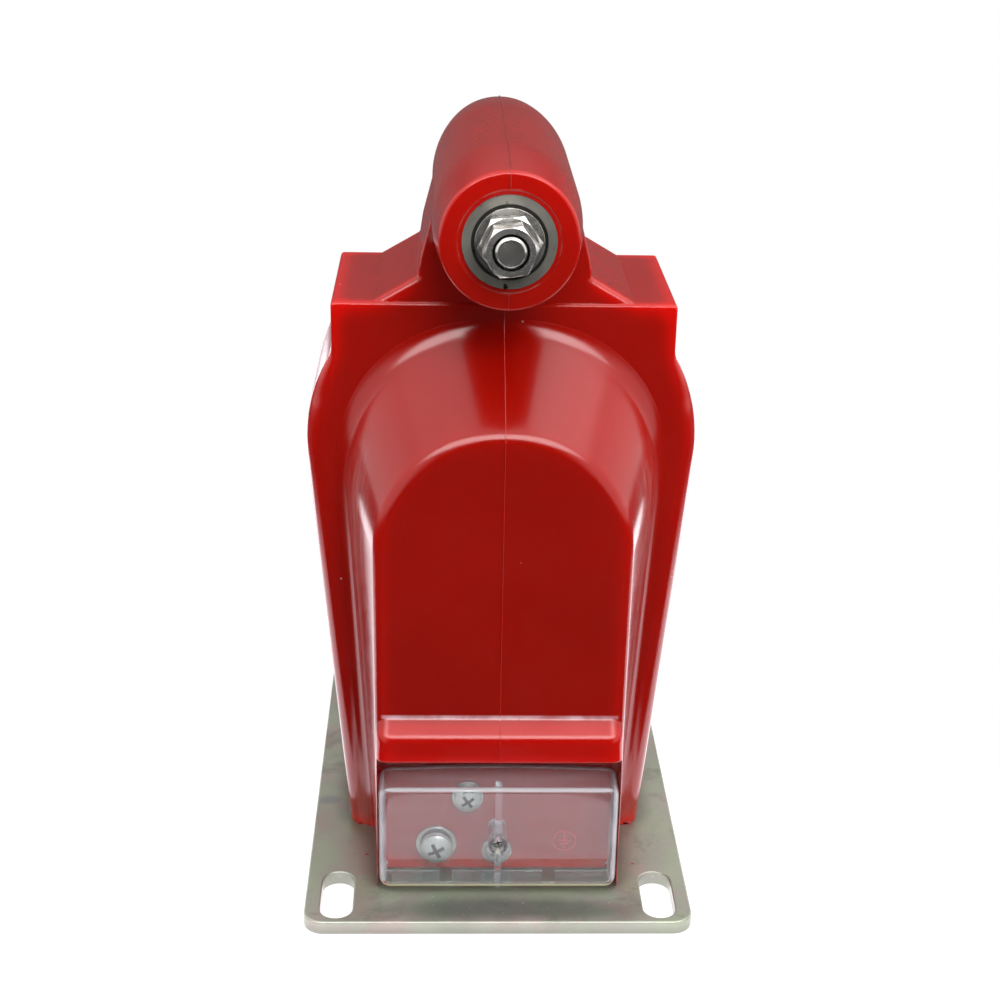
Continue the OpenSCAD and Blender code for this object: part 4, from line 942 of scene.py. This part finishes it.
coverSet = {
    "halfX": 48.2, "frontY": 87.5, "backY": 71.0, "footZ": 6.8, "frontZ": 52.8, "backZ": 54.8, "wall": 1.6,
    "sideRadius": 4.0, "topRadius": 2.0, "footRadius": 1.7, "cornerTop": 4.5, "cornerFoot": 3.6, "bow": 1.8,
    "floorLong": 11.0, "notchX": 21.0, "notchWide": 5.0, "notchLong": 8.5, "ribThick": 2.6, "ribDeep": 6.5,
    "bossZ": 26.0, "boss": 7.6, "bore": 3.6, "recess": 6.0, "recessDeep": 5.0,
}


# The cover's body, drawn in by inset: sections seen from the front, stacked from the back to the front. A
# section is a rectangle with round corners, and near the front it draws in along a quarter circle, radius
# minus the square root of radius squared less distance squared. The top falls to the front, and its rear edge
# is bowed.
def coverBody(name, s, inset, backY):
    frontY = s["frontY"] - inset
    side, top, foot = (max(s[k] - inset, 0.5) for k in ("sideRadius", "topRadius", "footRadius"))
    depths = np.concatenate([np.linspace(backY, frontY - side, 8, endpoint=False),
                             frontY - side + side * np.sin(np.radians(np.linspace(0, 90, 14)))])
    rows = []
    for y in depths:
        draws = [r - math.sqrt(max(r * r - max(0, y - frontY + r) ** 2, 0)) for r in (side, top, foot)]
        w = (y - s["backY"]) / (s["frontY"] - s["backY"])
        x = s["halfX"] - inset - draws[0]
        z1 = s["backZ"] + (s["frontZ"] - s["backZ"]) * w - inset - draws[1]
        z0 = s["footZ"] + inset + draws[2]
        r1, r0 = (max(s[k] - inset - draws[0] * 0.3, 0.6) for k in ("cornerTop", "cornerFoot"))
        corners = [(x - r1, z1 - r1, r1), (r1 - x, z1 - r1, r1), (r0 - x, z0 + r0, r0), (x - r0, z0 + r0, r0)]
        bends = [arc((cx, cz), r, 90 * k, 90 * k + 90, 9) for k, (cx, cz, r) in enumerate(corners)]
        stretches = [np.linspace(bends[k][-1], bends[(k + 1) % 4][0], (20, 8)[k % 2])[1:-1] for k in range(4)]
        path = np.vstack([piece for pair in zip(bends, stretches) for piece in pair])
        high = np.clip((path[:, 1] - z0) / (z1 - z0), 0, 1) ** 3
        path[:, 1] -= s["bow"] * (path[:, 0] / s["halfX"]) ** 2 * (1 - min(max(w, 0), 1)) * high
        rows.append(np.stack([path[:, 0], np.full(len(path), -y), path[:, 1]], -1))
    return skin(name, np.array(rows))


def makeCover(s):
    wall, middle = s["wall"], s["wall"] / 2
    cover = coverBody("clearCover", s, 0, s["backY"])
    floorY = s["frontY"] - s["floorLong"]
    boolean(cover, [coverBody("hollow", s, wall, s["backY"] - 3),
                    boxMesh("footCut", (-60, -floorY, 0), (60, -60, s["footZ"] + wall + 0.05))], "DIFFERENCE")
    rib = coverBody("rib", s, middle, s["backY"])
    boolean(rib, [boxMesh("ribKeep", (-s["ribThick"] / 2, -100, 0),
                          (s["ribThick"] / 2, s["ribDeep"] - s["frontY"], 100))], "INTERSECT")
    # The boss, the screw's bore and the recess round its head: each end's depth, and its radius.
    boss, bore, recess = (turned(name, ends, (0, 0, s["bossZ"]), (0, -1, 0), 48) for name, ends in (
        ("boss", [(s["backY"], s["boss"] / 2), (s["frontY"] - middle, s["boss"] / 2 + 0.15)]),
        ("bore", [(s["backY"] - 3, s["bore"] / 2), (s["frontY"] + 3, s["bore"] / 2)]),
        ("recess", [(s["frontY"] - s["recessDeep"], s["recess"] / 2), (s["frontY"] + 3, s["recess"] / 2)])))
    boolean(cover, [rib, boss], "UNION")
    half, outer = s["notchWide"] / 2, -floorY - s["notchLong"]
    cuts = [boxMesh("notch", (x - half, outer, 0), (x + half, 3 - floorY, s["footZ"] + 3))
            for x in (-s["notchX"], s["notchX"])]
    return boolean(cover, cuts + [bore, recess], "DIFFERENCE")


finish(makeCover(coverSet), clear, ["terminal_cover"], angle=38)


# Finishes of the pieces whose shape is right already

finishes = {
    "base_plate": zinc, "base_screws": zinc, "base_inserts": brass, "resin_body": resin, "iron_core": iron,
    "winding_tube": board, "secondary_winding": copper, "barrier_tube": board, "primary_winding": copper,
    "terminal_cover": clear,
}
for name, piece in nodes.items():
    made = screwMetals.get(name, finishes.get(name))
    if made is None and name.endswith("lead"):
        made = copper
    if made is None and name.endswith("insert"):
        made = insertMetal if "_hv_" in name else brass
    if name.endswith("hv_nut"):
        made = nickelWithStudShade
    for slot in piece.material_slots:
        slot.material = made or nickel
print("finishes set")
